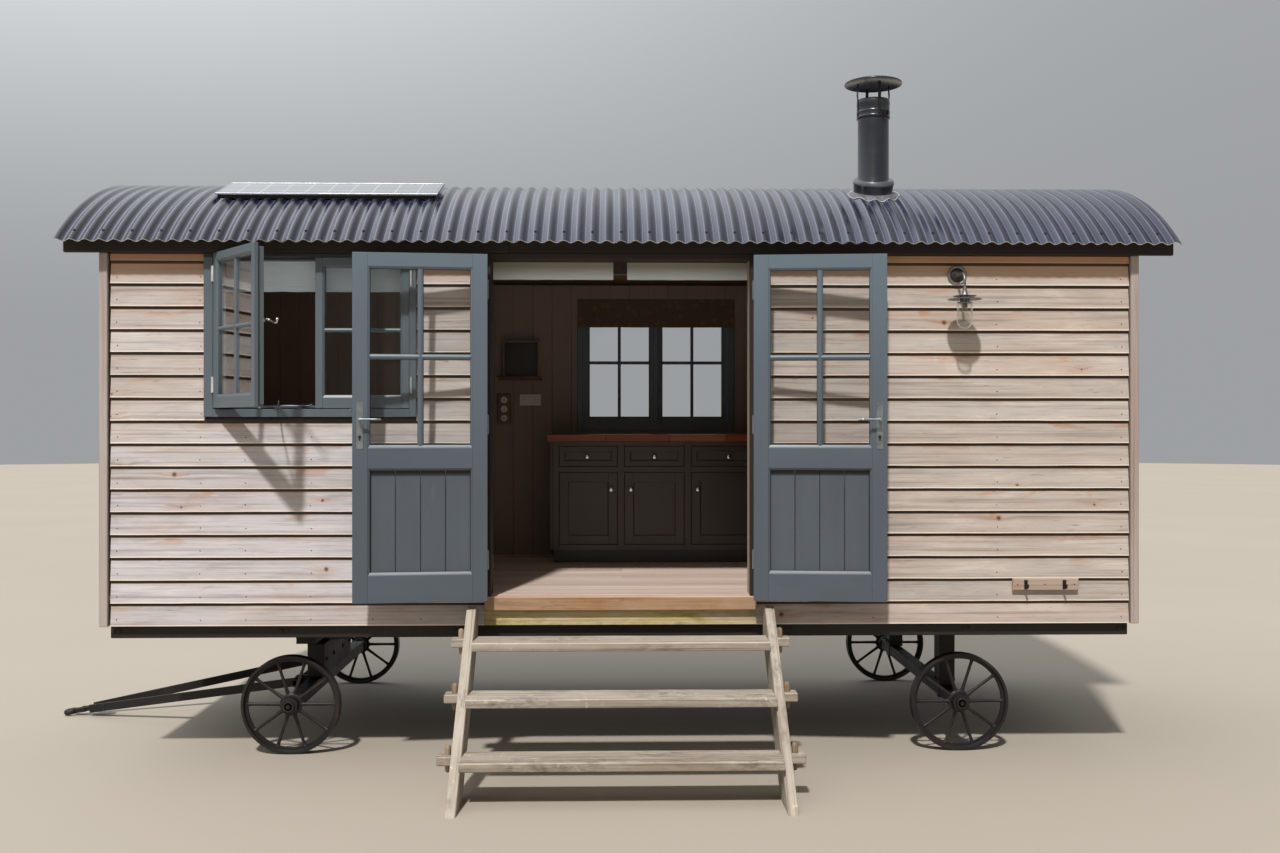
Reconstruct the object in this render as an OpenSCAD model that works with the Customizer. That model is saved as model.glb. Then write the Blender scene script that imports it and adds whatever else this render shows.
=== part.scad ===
// Shepherd's hut on four iron wheels: a boarded timber body under a
// barrel roof, with double doors, steps, a draw bar and a fitted kitchen run.
// Millimetres. Front wall face at y = 0, hut centre at x = 0, ground at z = 0
// before the last shift, which puts the origin under the middle of the whole.

/* [Body] */
// Length over the boarded end walls
body_l = 5600; // [5200:10:6400]
// Depth over the boarded front and back walls
body_d = 2250; // [2150:10:2450]
// Underside of the wall boards above the ground
board_z0 = 729; // [715:1:734]
// Top of the wall boards above the ground
board_z1 = 2734; // [2732:1:2740]
// Thickness of the boarding
board_t = 22; // [16:1:24]
// Whole wall thickness, boards to lining
wall_t = 120; // [100:1:150]
// Finished floor above the ground
floor_z = 890; // [880:1:900]

/* [Roof] */
// Outer radius of the barrel roof sheet
roof_r = 1851; // [1845:1:1860]
// Height of the ridge
ridge_z = 3275; // [3270:1:3280]
// Half of the roof's width, eave to eave
eave_half = 1250; // [1235:1:1260]
// Roof overhang at each end wall
end_over = 195; // [150:5:250]
// Depth of the corrugated sheet, valley to crest
sheet_t = 20; // [16:1:22]
// Thickness of the insulated roof deck
deck_t = 60; // [40:1:70]

/* [Doors] */
// Middle of the doorway
door_cx = -16.5; // [-40:0.5:40]
// Half of the distance between the two hinge lines
door_half = 708; // [700:1:730]
// Width of each door
leaf_w = 702; // [690:1:706]
// Underside of the doors
leaf_z0 = 875; // [860:1:880]
// Height of the doors
leaf_h = 1836; // [1820:1:1844]
// Thickness of the doors
leaf_t = 40; // [36:1:42]
// How far the doors stand open at rest
door_open = 174.5; // [150:0.5:177]

/* [Windows] */
// Left edge of the front window frame
win_x0 = -2248; // [-2260:1:-2200]
// Right edge of the front window frame
win_x1 = -1116; // [-1150:1:-1100]
// Underside of the front window frame
win_z0 = 1852; // [1820:1:1870]
// Top of the front window frame
win_z1 = 2728; // [2700:1:2728]
// How far the front window's left casement stands open
casement_open = 51; // [10:1:80]
// Left edge of the back window frame
bwin_x0 = -310; // [-330:1:-290]
// Right edge of the back window frame
bwin_x1 = 810; // [790:1:830]
// Underside of the back window frame
bwin_z0 = 1765; // [1755:1:1780]
// Top of the back window frame
bwin_z1 = 2708; // [2690:1:2720]

/* [Running gear] */
// Radius of the wheels
wheel_r = 270; // [260:1:280]
// Width of the wheel rims
rim_w = 60; // [50:1:70]
// Spokes in each wheel
spokes = 10; // [8:1:12]
// Front axle position
front_x = -1830; // [-1900:5:-1780]
// Rear axle position
rear_x = 1870; // [1800:5:1900]
// Length of the draw bar from its pivot to the eye
bar_l = 1525; // [1400:5:1600]

/* [Steps] */
// Middle of each step side from the doorway's middle
stringer_x = 793; // [780:1:800]
// Thickness of the step sides
stringer_t = 50; // [44:1:56]
// Width of the step sides
stringer_w = 190; // [180:1:200]
// Thickness of the treads
tread_t = 45; // [40:1:48]
// Depth of the treads
tread_d = 220; // [210:1:230]

/* [Hidden] */
$fn = 96;

gap = 0.5;                       // between curved faces that meet
mid_y = body_d / 2;
hx = body_l / 2;                 // boarded end face
core_x = hx - board_t;           // wall core end face
in_x = hx - wall_t;              // inner face of the end walls
in_y0 = wall_t;
in_y1 = body_d - wall_t;
roof_cz = ridge_z - roof_r;      // centre of the barrel
sheet_r = roof_r - sheet_t;
deck_r = sheet_r - deck_t;
roof_hx = hx + end_over;
chassis_z0 = 660;
chassis_z1 = 735;
frame_t = 35;                    // thickness of the door frame
head_z = 2700;                   // clear height of the doorway
rough_x = door_half + 24.5;      // half of the framed opening
axis_y = -84;                    // hinge line of the doors
leaf_y = 8;                      // from the hinge line to the leaf
sill_z0 = 811;

// whole size, for the origin
eye_r = 42; eye_h = 16;                          // eye of the draw bar, radius and half height
pivot_x = front_x - 105; pivot_z = 285;
bar_a = bar_l + eye_r;
bar_drop = asin(pivot_z / sqrt(bar_a * bar_a + eye_h * eye_h)) - atan(eye_h / bar_a);
x_lo = pivot_x - bar_a * cos(bar_drop) - eye_h * sin(bar_drop);
x_hi = roof_hx;
y_lo = -987; y_hi = mid_y + eave_half;
ox = -(x_lo + x_hi) / 2;
oy = -(y_lo + y_hi) / 2;

module box(a, b) { translate(a) cube(b - a); }
module bar_x(y, z, r, x0, x1) { translate([x0, y, z]) rotate([0, 90, 0]) cylinder(r = r, h = x1 - x0); }
module bar_y(x, z, r, y0, y1) { translate([x, y1, z]) rotate([90, 0, 0]) cylinder(r = r, h = y1 - y0); }
module barrel(r, x0, x1) { translate([x0, mid_y, roof_cz]) rotate([0, 90, 0]) cylinder(r = r, h = x1 - x0, $fn = 360); }
module barrel_shell(r0, r1, x0, x1) {
  difference() { barrel(r1, x0, x1); barrel(r0, x0 - 5, x1 + 5); }
}
module place() { translate([ox, oy, 0]) children(); }
// a member of a frame: outer box a..b with a rectangular hole p..q through y
module ring_y(a, b, p, q) {
  difference() { box(a, b); box([p[0], a[1] - 5, p[1]], [q[0], b[1] + 5, q[1]]); }
}

// ---- chassis and floor ----
module chassis_rails() { place() color([0.13, 0.11, 0.10])
  for (y = [38, body_d - 98]) box([-hx + 40, y, chassis_z0], [hx - 40, y + 60, chassis_z1]);
}
cross_x = [-hx + 70, front_x, -900, 0, 900, rear_x, hx - 70];
module chassis_crossbeams() { place() color([0.13, 0.11, 0.10])
  for (x = cross_x) box([x - 30, 98, chassis_z0], [x + 30, body_d - 98, chassis_z1]);
}
module floor_deck() { place() color([0.45, 0.36, 0.27])
  box([-core_x, board_t, chassis_z1], [core_x, body_d - board_t, floor_z]);
}

// ---- walls ----
module wall_core(x0, x1, y0, y1, z0) {
  intersection() {
    box([x0, y0, z0], [x1, y1, 3200]);
    barrel(deck_r - gap, x0 - 5, x1 + 5);
  }
}
module front_wall_left() { place() color([0.25, 0.28, 0.30]) difference() {
  wall_core(-in_x, door_cx - rough_x, board_t, wall_t, floor_z);
  box([win_x0, 0, win_z0], [win_x1, wall_t + 5, win_z1]);
} }
module front_wall_right() { place() color([0.25, 0.28, 0.30])
  wall_core(door_cx + rough_x, in_x, board_t, wall_t, floor_z);
}
module front_wall_head() { place() color([0.25, 0.28, 0.30])
  wall_core(door_cx - rough_x, door_cx + rough_x, board_t, wall_t, head_z + frame_t - 5);
}
module back_wall() { place() color([0.25, 0.28, 0.30]) difference() {
  wall_core(-in_x, in_x, in_y1, body_d - board_t, floor_z);
  box([bwin_x0, in_y1 - 5, bwin_z0], [bwin_x1, body_d, bwin_z1]);
} }
module end_wall(s) {
  x0 = s > 0 ? in_x : -core_x;
  wall_core(x0, x0 + core_x - in_x, board_t, body_d - board_t, floor_z);
}
module left_end_wall() { place() color([0.25, 0.28, 0.30]) end_wall(-1); }
module right_end_wall() { place() color([0.25, 0.28, 0.30]) end_wall(1); }

// boarding: two long slabs with their openings, and two arched ends
module end_boards(s) {
  x0 = s > 0 ? core_x : -hx;
  intersection() {
    union() {
      box([x0, 45, board_z0], [x0 + board_t, body_d - 45, 3300]);
    }
    barrel(sheet_r - gap, x0 - 5, x0 + board_t + 5);
  }
}
module wall_boards() { place() color([0.78, 0.73, 0.68]) {
  difference() {
    box([-hx + 39, 0, board_z0], [hx - 39, board_t, board_z1]);
    box([door_cx - rough_x, -5, sill_z0], [door_cx + rough_x, board_t + 5, 2800]);
    box([win_x0, -5, win_z0], [win_x1, board_t + 5, 2800]);
  }
  difference() {
    box([-hx + 39, body_d - board_t, board_z0], [hx - 39, body_d, board_z1]);
    box([bwin_x0, body_d - board_t - 5, bwin_z0], [bwin_x1, body_d + 5, bwin_z1]);
  }
  end_boards(-1);
  end_boards(1);
} }
module corner_posts() { place() color([0.66, 0.58, 0.52])
  for (sx = [-1, 1], y = [-6, body_d - 39]) difference() {
    box([sx > 0 ? hx - 39 : -hx - 6, y, board_z0 - 2], [sx > 0 ? hx + 6 : -hx + 39, y + 45, board_z1 - 4]);
    box([-core_x, board_t, 0], [core_x, body_d - board_t, 3000]);
  }
}

// ---- roof ----
module eave_fascias() { place() color([0.14, 0.11, 0.10])
  for (y = [-28, body_d]) intersection() {
    box([-roof_hx + 10, y, 2730], [roof_hx - 10, y + 28, 2900]);
    barrel(sheet_r - gap, -roof_hx, roof_hx);
  }
}
module verge_boards() { place() color([0.14, 0.11, 0.10])
  for (x = [-roof_hx + 10, roof_hx - 35]) intersection() {
    barrel_shell(sheet_r - 95, sheet_r - gap, x, x + 25);
    box([x - 5, 1, 2730], [x + 30, body_d - 1, 3300]);
  }
}
module roof_sheet() { place() color([0.36, 0.38, 0.45]) intersection() {
  barrel_shell(sheet_r, roof_r, -roof_hx, roof_hx);
  translate([-roof_hx - 5, mid_y, roof_cz]) rotate([90, 0, 90]) linear_extrude(2 * roof_hx + 10)
    polygon([[0, 0], [eave_half * 1.1, eave_dz * 1.1], [eave_half * 1.1, 2100], [-eave_half * 1.1, 2100], [-eave_half * 1.1, eave_dz * 1.1]]);
} }
eave_dz = sqrt(roof_r * roof_r - eave_half * eave_half);
module roof_deck() { place() color([0.55, 0.45, 0.36]) intersection() {
  barrel_shell(deck_r, sheet_r - gap, -core_x, core_x);
  box([-core_x, board_t, 2600], [core_x, body_d - board_t, 3300]);
} }
flue_x = 1450; flue_y = 460;
flue_r = 89; flue_top = 3684;
module flue_pipe() { place() color([0.10, 0.10, 0.11]) difference() {
  translate([flue_x, flue_y, 3000]) cylinder(r = flue_r, h = flue_top - 3000);
  barrel(roof_r + gap, 1150, 1750);
  translate([flue_x, flue_y, 3230]) cylinder(r = 76, h = 500);
} }
flue_a = asin((mid_y - flue_y) / roof_r);
module flue_flashing() { place() color([0.62, 0.63, 0.65]) difference() {
  union() {
    intersection() {
      translate([flue_x, flue_y + 8, 2900]) cylinder(r = 148, h = 500);
      barrel(roof_r + 7, 1150, 1750);
    }
    // collar square to the slope
    translate([flue_x, mid_y, roof_cz]) rotate([flue_a, 0, 0]) translate([0, 15, roof_r]) {
      translate([0, 0, -60]) cylinder(r = 117, h = 120);
      translate([0, 0, 59]) cylinder(r1 = 117, r2 = 112, h = 19);
    }
  }
  barrel(roof_r + gap, 1150, 1750);
  translate([flue_x, flue_y, 2900]) cylinder(r = flue_r + gap, h = 600);
} }
// sleeve round the pipe, four straps and a shallow cone cap
module flue_cowl() { place() color([0.10, 0.10, 0.11]) translate([flue_x, flue_y, 0]) {
  difference() {
    translate([0, 0, 3580]) cylinder(r = 96, h = flue_top + 4 - 3580);
    translate([0, 0, 3570]) cylinder(r = flue_r + gap, h = 200);
  }
  for (a = [10, 100, 190, 280]) rotate([0, 0, a]) box([91, -10, flue_top - 20], [95, 10, 3782]);
  translate([0, 0, 3778]) cylinder(r = 165, h = 12);
  translate([0, 0, 3790]) cylinder(r1 = 162, r2 = 20, h = 40);
} }
panel_y = 450; panel_w = 322;
module roof_panel() {
  a = asin((mid_y - panel_y) / roof_r);
  place() color([0.70, 0.74, 0.80])
    translate([-1664, mid_y, roof_cz]) rotate([a, 0, 0]) translate([0, 0, roof_r]) {
      box([-620, -panel_w / 2, 9], [620, panel_w / 2, 20]);
      for (x = [-570, -190, 190, 570], y = [-panel_w / 2 + 20, panel_w / 2 - 20])
        difference() {
          box([x - 15, y - 15, -8], [x + 15, y + 15, 9]);
          translate([x - 20, 0, -roof_r]) rotate([0, 90, 0]) cylinder(r = roof_r + gap, h = 40, $fn = 360);
        }
    }
}

// ---- doorway ----
fx0 = door_cx - rough_x; fx1 = door_cx + rough_x;
module door_frame() { place() color([0.72, 0.60, 0.52]) difference() {
  box([fx0, -28, sill_z0 + 75], [fx1, wall_t, head_z + frame_t - 6]);
  box([fx0 + frame_t, -40, 0], [fx1 - frame_t, wall_t + 10, head_z]);
  box([fx0 - 5, -40, 2729.5], [fx1 + 5, 0.5, 2900]);
  box([fx0 - 5, board_t, 800], [fx1 + 5, wall_t + 10, floor_z]);
} }
module door_sill() { place() color([0.78, 0.68, 0.62])
  box([fx0, -30, sill_z0], [fx1, board_t, sill_z0 + 75]);
}
hinge_z = [1090, 1810, 2530];
// fixed half of a hinge: two knuckles, the pin, an arm and a flange on the frame
module fixed_hinge(z) {
  for (k = [[-50, -18], [18, 50]]) translate([0, 0, z + k[0]]) cylinder(r = 6.5, h = k[1] - k[0]);
  translate([0, 0, z - 50]) cylinder(r = 3, h = 100);
  for (k = [[-50, -18], [18, 50]]) {
    box([-6, 0, z + k[0]], [-3, 56 - 3, z + k[1]]);
    box([-18, 53, z + k[0]], [-3, 56, z + k[1]]);
  }
}
module frame_hinges() { place() color([0.75, 0.75, 0.76]) for (z = hinge_z) {
  translate([door_cx - door_half, axis_y, 0]) fixed_hinge(z);
  translate([door_cx + door_half, axis_y, 0]) mirror([1, 0, 0]) fixed_hinge(z);
} }

// ---- door leaf, drawn shut with its hinge line on the z axis, leaf towards +x ----
stile = 90; top_rail = 83; glass_h = 925; mid_rail = 134; panel_h = 534;
glass_z1 = leaf_z0 + leaf_h - top_rail;
glass_z0 = glass_z1 - glass_h;
panel_z1 = glass_z0 - mid_rail;
panel_z0 = panel_z1 - panel_h;
spindle_x = leaf_w - 39; spindle_z = 1837;
module leaf_solid() {
  difference() {
    box([1, leaf_y, leaf_z0], [leaf_w, leaf_y + leaf_t, leaf_z0 + leaf_h]);
    // glazed part, four panes
    box([stile, leaf_y - 5, glass_z0], [leaf_w - stile, leaf_y + leaf_t + 5, glass_z1]);
    // sunk lower panel, shallow outside and deep on the room side
    box([stile, leaf_y - 5, panel_z0], [leaf_w - stile, leaf_y + 4, panel_z1]);
    box([stile, leaf_y + leaf_t - 24, panel_z0], [leaf_w - stile, leaf_y + leaf_t + 5, panel_z1]);
    // spindle hole
    translate([spindle_x, leaf_y + leaf_t + 5, spindle_z]) rotate([90, 0, 0]) cylinder(r = 6.05, h = leaf_t + 10);
  }
  // glazing bars
  cx = leaf_w / 2; cz = (glass_z0 + glass_z1) / 2;
  box([cx - 14, leaf_y + 5, glass_z0 - 1], [cx + 14, leaf_y + 17, glass_z1 + 1]);
  box([cx - 14, leaf_y + 23, glass_z0 - 1], [cx + 14, leaf_y + leaf_t - 5, glass_z1 + 1]);
  box([stile - 1, leaf_y + 5, cz - 14], [leaf_w - stile + 1, leaf_y + 17, cz + 14]);
  box([stile - 1, leaf_y + 23, cz - 14], [leaf_w - stile + 1, leaf_y + leaf_t - 5, cz + 14]);
}
module leaf_glass() {
  box([stile, leaf_y + 18, glass_z0], [leaf_w - stile, leaf_y + 22, glass_z1]);
}
module leaf_hardware() {
  for (z = hinge_z) difference() {
    union() {
      translate([0, 0, z - 17.5]) cylinder(r = 6.5, h = 35);
      box([0, 3.5, z - 17.5], [32, leaf_y, z + 17.5]);
    }
    translate([0, 0, z - 30]) cylinder(r = 3.05, h = 60);
  }
  // long lock plates, one on each face
  for (y = [leaf_y - 3, leaf_y + leaf_t]) difference() {
    box([leaf_w - 56, y, 1681], [leaf_w - 22, y + 3, 1928]);
    translate([spindle_x, y + 10, spindle_z]) rotate([90, 0, 0]) cylinder(r = 6.05, h = 20);
  }
}
module leaf_lever() {
  translate([spindle_x, leaf_y + leaf_t + 42, spindle_z]) rotate([90, 0, 0]) cylinder(r = 6, h = leaf_t + 84);
  for (y = [leaf_y - 50, leaf_y + leaf_t + 36]) {
    translate([spindle_x, y + 14, spindle_z]) rotate([90, 0, 0]) cylinder(r = 10, h = 14);
    box([spindle_x - 105, y, spindle_z - 8], [spindle_x, y + 14, spindle_z + 8]);
  }
  for (y = [leaf_y - 11, leaf_y + leaf_t + 3.5])
    translate([spindle_x, y + 7.5, spindle_z]) rotate([90, 0, 0]) cylinder(r = 12, h = 7.5);
}
module left_leaf_place() {
  place() translate([door_cx - door_half, axis_y, 0]) rotate([0, 0, -door_open]) children();
}
module right_leaf_place() {
  place() translate([door_cx + door_half, axis_y, 0]) rotate([0, 0, door_open]) mirror([1, 0, 0]) children();
}
module left_door_leaf() { left_leaf_place() color([0.38, 0.42, 0.46]) leaf_solid(); }
module left_door_glass() { left_leaf_place() color([0.75, 0.82, 0.85, 0.4]) leaf_glass(); }
module left_door_hardware() { left_leaf_place() color([0.78, 0.78, 0.79]) leaf_hardware(); }
module left_door_lever() { left_leaf_place() color([0.78, 0.78, 0.79]) leaf_lever(); }
module right_door_leaf() { right_leaf_place() color([0.38, 0.42, 0.46]) leaf_solid(); }
module right_door_glass() { right_leaf_place() color([0.75, 0.82, 0.85, 0.4]) leaf_glass(); }
module right_door_hardware() { right_leaf_place() color([0.78, 0.78, 0.79]) leaf_hardware(); }
module right_door_lever() { right_leaf_place() color([0.78, 0.78, 0.79]) leaf_lever(); }

// ---- windows ----
// fixed outer frame seen from outside, y measured inwards from the outer face
module window_frame(x0, x1, z0, z1) {
  ring_y([x0, 0, z0], [x1, 95, z1], [x0 + 40, z0 + 45], [x1 - 40, z1 - 18]);
  box([x0 - 12, -28, z0 - 2], [x1 + 12, 0, z0 + 34]);
}
// casement with its hinge side at x = 0 and its outer face at y = 0
module casement(w, h) {
  ring_y([0, 0, 0], [w, 40, h], [48, 62], [w - 48, h - 48]);
  box([w / 2 - 11, 6, 61], [w / 2 + 11, 17, h - 47]);
  box([47, 6, h / 2 - 4], [w - 47, 17, h / 2 + 18]);
  box([w / 2 - 11, 23, 61], [w / 2 + 11, 34, h - 47]);
  box([47, 23, h / 2 - 4], [w - 47, 34, h / 2 + 18]);
}
module casement_glass(w, h) { box([48, 18, 62], [w - 48, 22, h - 48]); }
// front casement: a lip 22 deep, and behind it a body set in by e at the sides and foot, et at the top
module storm_casement(w, h, e = 0, et = 0) {
  difference() {
    union() {
      box([0, 0, 0], [w, 22, h]);
      box([e, 22, e], [w - e, 56, h - et]);
    }
    box([48, -5, 72], [w - 48, 61, h - 50]);
  }
  box([w / 2 - 11, 6, 71], [w / 2 + 11, 17, h - 49]);
  box([47, 6, bar_z - 11], [w - 47, 17, bar_z + 11]);
  box([w / 2 - 11, 23, 71], [w / 2 + 11, 34, h - 49]);
  box([47, 23, bar_z - 11], [w - 47, 34, bar_z + 11]);
}
module storm_glass(w, h) { box([48, 18, 72], [w - 48, 22, h - 50]); }
bar_z = 421;
cas_z = win_z0 + 45;
shut_x = win_x0 + 592;
shut_w = win_x1 - 36 - 1.5 - shut_x;
shut_h = win_z1 - 18 - 2 - cas_z;
open_w = 535;
open_h = win_z1 - 2 - (cas_z + 2);
bwin_mx = (bwin_x0 + bwin_x1) / 2;
bcas_w = (bwin_x1 - bwin_x0) / 2 - 40 - 1.5;
bcas_z = bwin_z0 + 47;
bcas_h = bwin_z1 - 18 - 2 - bcas_z;
module front_window_frame() { place() color([0.36, 0.43, 0.47])
  ring_y([win_x0, -14, win_z0], [win_x1, 95, win_z1], [win_x0 + 50, win_z0 + 43], [win_x1 - 36, win_z1 - 18]);
}
module open_casement_place() {
  translate([win_x0 + 56, -30, cas_z + 2]) rotate([0, 0, -casement_open]) children();
}
module fixed_casement_place() { translate([shut_x, -4, cas_z]) children(); }
module front_casements() { place() color([0.36, 0.43, 0.47]) {
  fixed_casement_place() storm_casement(shut_w, shut_h);
  open_casement_place() storm_casement(open_w, open_h, 12, 18);
} }
module back_window_frame() { place() color([0.36, 0.43, 0.47]) translate([0, body_d, 0]) mirror([0, 1, 0]) {
  window_frame(bwin_x0, bwin_x1, bwin_z0, bwin_z1);
  translate([bwin_x0 + 39.5, 4, bcas_z - 2.5]) casement(bcas_w + 0.5, bcas_h + 5);
  translate([bwin_mx + 1.5, 4, bcas_z - 2.5]) casement(bcas_w + 0.5, bcas_h + 5);
} }
module window_glass() { place() color([0.75, 0.82, 0.85, 0.4]) {
  fixed_casement_place() storm_glass(shut_w, shut_h);
  open_casement_place() storm_glass(open_w, open_h);
  translate([0, body_d, 0]) mirror([0, 1, 0]) {
    translate([bwin_x0 + 39.5, 4, bcas_z - 2.5]) casement_glass(bcas_w + 0.5, bcas_h + 5);
    translate([bwin_mx + 1.5, 4, bcas_z - 2.5]) casement_glass(bcas_w + 0.5, bcas_h + 5);
  }
} }

// ---- inside ----
kit_x = [-455, -4, 441, 987];
kit_y = 1530;
module kitchen_units() { place() color([0.22, 0.27, 0.30]) {
  box([kit_x[0] - 20, kit_y + 40, floor_z + 90], [kit_x[3] + 20, in_y1, 1700]);
  box([kit_x[0], kit_y + 90, floor_z], [kit_x[3], in_y1, floor_z + 90]);
} }
module kitchen_fronts() { place() color([0.22, 0.27, 0.30])
  for (i = [0, 1, 2]) {
    x0 = kit_x[i] + 2; x1 = kit_x[i + 1] - 2;
    box([x0, kit_y + 20, 1516], [x1, kit_y + 40, 1682]);
    box([x0, kit_y + 20, floor_z + 100], [x1, kit_y + 40, 1512]);
    bar_y((x0 + x1) / 2, 1599, 15, kit_y - 4, kit_y + 20);
    bar_y(i == 0 ? x1 - 64 : x0 + 64, 1382, 15, kit_y - 4, kit_y + 20);
  }
}
module kitchen_worktop() { place() color([0.50, 0.30, 0.18])
  box([kit_x[0] - 37, kit_y, 1700], [kit_x[3] + 25, in_y1, 1747]);
}
module door_blinds() { place() color([0.85, 0.83, 0.76])
  for (x = [[-719, -57], [20, 684]]) {
    box([x[0], in_y0, 2600], [x[1], in_y0 + 26, 2712]);
    box([x[0], in_y0, 2712], [x[1], in_y0 + 26, 2745]);
  }
}
module front_blind() { place() color([0.62, 0.68, 0.74])
  box([win_x0 + 45, 97, 2540], [win_x1 - 45, 118, win_z1]);
}
module back_blind() { place() color([0.20, 0.15, 0.14])
  box([bwin_x0 + 2, in_y1 + 1, 2500], [bwin_x1 - 2, in_y1 + 20, bwin_z1]);
}
module wall_fittings() { place() color([0.30, 0.20, 0.14]) {
  // open box shelf
  difference() {
    box([-875, in_y1 - 70, 2128], [-560, in_y1, 2436]);
    box([-853, in_y1 - 75, 2150], [-582, in_y1 - 8, 2414]);
  }
  box([-870, in_y1 - 90, 2108], [-560, in_y1, 2128]);
  // switch plate and socket plate
  box([-876, in_y1 - 20, 1818], [-778, in_y1, 2030]);
  for (z = [1860, 1924, 1988]) bar_y(-827, z, 23, in_y1 - 32, in_y1 - 20);
  box([-717, in_y1 - 10, 1949], [-568, in_y1, 2030]);
} }

// ---- steps ----
st_dx = 887; st_dz = 840;
st_len = sqrt(st_dx * st_dx + st_dz * st_dz);
st_c = st_dx / st_len; st_s = st_dz / st_len;
st_end = 70;                                    // radius of the rounded top
st_oz = st_dz - st_end;
st_oy = (st_end + st_oz * st_c) / st_s + y_lo;
st_zb = (-2 - (y_lo + stringer_w / st_s)) * st_s / st_c;
tread_z = [690, 460, 220];
tread_y = [-328, -600, -868];
tenon_y = 115; tenon_w = 90;
module stringer_outline() {
  polygon([[y_lo, 0], [y_lo + stringer_w / st_s, 0], [st_oy + st_end, st_zb],
    [st_oy + st_end, st_oz], [st_oy, st_oz], [st_oy - st_end * st_s, st_oz + st_end * st_c]]);
  translate([st_oy, st_oz]) circle(r = st_end);
}
module step_stringers() { place() color([0.66, 0.62, 0.56])
  for (s = [-1, 1]) difference() {
    translate([door_cx + s * stringer_x - stringer_t / 2, 0, 0]) rotate([90, 0, 90])
      linear_extrude(stringer_t) stringer_outline();
    for (i = [0, 1, 2]) box([door_cx + s * stringer_x - 60, tread_y[i] + tenon_y - gap, tread_z[i] - tread_t - gap],
      [door_cx + s * stringer_x + 60, tread_y[i] + tenon_y + tenon_w + gap, tread_z[i] + gap]);
  }
}
module step_treads() { place() color([0.68, 0.64, 0.58]) for (i = [0, 1, 2]) difference() {
  union() {
    box([door_cx - stringer_x + stringer_t / 2, tread_y[i], tread_z[i] - tread_t],
      [door_cx + stringer_x - stringer_t / 2, tread_y[i] + tread_d, tread_z[i]]);
    box([door_cx - stringer_x - stringer_t / 2 - 70, tread_y[i] + tenon_y, tread_z[i] - tread_t],
      [door_cx + stringer_x + stringer_t / 2 + 70, tread_y[i] + tenon_y + tenon_w, tread_z[i]]);
  }
  for (s = [-1, 1]) translate([door_cx + s * (stringer_x + stringer_t / 2 + 19), tread_y[i] + tenon_y + tenon_w / 2, tread_z[i] - 100])
    cylinder(r = 16.5, h = 200);
} }
module step_pegs() { place() color([0.60, 0.54, 0.47])
  for (i = [0, 1, 2], s = [-1, 1])
    translate([door_cx + s * (stringer_x + stringer_t / 2 + 19), tread_y[i] + tenon_y + tenon_w / 2, tread_z[i] - tread_t - 40])
      cylinder(r = 16.2, h = tread_t + 90);
}

// ---- wall lamp and hook rail ----
lamp_x = 1810; lamp_y = -150;
lamp_z = 2621; jar_r = 41; jar_z = 2318;
module wall_lamp() { place() color([0.55, 0.56, 0.57]) {
  bar_y(lamp_x, lamp_z, 52, -16, 0);
  bar_y(lamp_x, lamp_z, 7, lamp_y + 50, -16);
  translate([lamp_x, lamp_y + 50, lamp_z - 50]) rotate([0, -90, 0]) rotate([0, 0, 90]) translate([0, 0, -7])
    intersection() {
      translate([0, 0, 7]) rotate_extrude() translate([50, 0]) circle(r = 7);
      translate([0, 0, -5]) cube([70, 70, 40]);
    }
  translate([lamp_x, lamp_y, 2520]) cylinder(r = 7, h = lamp_z - 50 - 2519);
  translate([lamp_x, lamp_y, 2497]) cylinder(r1 = 62, r2 = 22, h = 28);
  translate([lamp_x, lamp_y, 2485]) cylinder(r = 91, h = 12);
  translate([lamp_x, lamp_y, 2460]) cylinder(r = 24, h = 26);
  translate([lamp_x, lamp_y, 2455]) cylinder(r = 40, h = 6);
} }
// round-bottomed glass, open at the top under the holder
module jar_form(r, z) {
  translate([0, 0, z + r]) cylinder(r = r, h = 2455 - gap - z - r);
  translate([0, 0, z + r]) sphere(r = r);
}
module lamp_jar() { place() color([0.80, 0.84, 0.85, 0.5]) translate([lamp_x, lamp_y, 0]) difference() {
  jar_form(jar_r, jar_z);
  translate([0, 0, 1]) jar_form(jar_r - 3.5, jar_z + 3.5);
} }
module hook_rail() { place() color([0.60, 0.50, 0.40]) {
  box([2110, -20, 911], [2470, 0, 976]);
  for (x = [2180, 2390]) {
    box([x - 9, -26, 918], [x + 9, -19, 968]);
    box([x - 6, -62, 922], [x + 6, -25, 932]);
    box([x - 6, -62, 931], [x + 6, -52, 950]);
    box([x - 6, -48, 956], [x + 6, -25, 964]);
  }
} }

// ---- running gear ----
axle_z = wheel_r;
wheel_y = 150;                                   // front face of the near wheels
hub_in = wheel_y + rim_w / 2 + 60;
module wheel() {
  // axis along z, middle plane at z = 0
  difference() {
    union() {
      difference() {
        translate([0, 0, -rim_w / 2]) cylinder(r = wheel_r, h = rim_w);
        translate([0, 0, -rim_w / 2 - 5]) cylinder(r = wheel_r - 16, h = rim_w + 10);
      }
      difference() {
        translate([0, 0, -9]) cylinder(r = wheel_r - 10, h = 18);
        translate([0, 0, -20]) cylinder(r = wheel_r - 34, h = 40);
      }
      translate([0, 0, -55]) cylinder(r = 46, h = 110);
      translate([0, 0, -9]) cylinder(r = 62, h = 18);
      for (i = [0:spokes - 1]) rotate([0, 0, i * 360 / spokes]) translate([40, -9, -8]) cube([wheel_r - 70, 18, 16]);
    }
    translate([0, 0, -80]) cylinder(r = 22.05, h = 160);
  }
}
module wheel_at(x, y) { place() color([0.09, 0.09, 0.10]) translate([x, y, axle_z]) rotate([90, 0, 0]) wheel(); }
near_y = wheel_y + rim_w / 2;
far_y = body_d - near_y;
module wheel_front_near() { wheel_at(front_x, near_y); }
module wheel_front_far() { wheel_at(front_x, far_y); }
module wheel_rear_near() { wheel_at(rear_x, near_y); }
module wheel_rear_far() { wheel_at(rear_x, far_y); }
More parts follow.
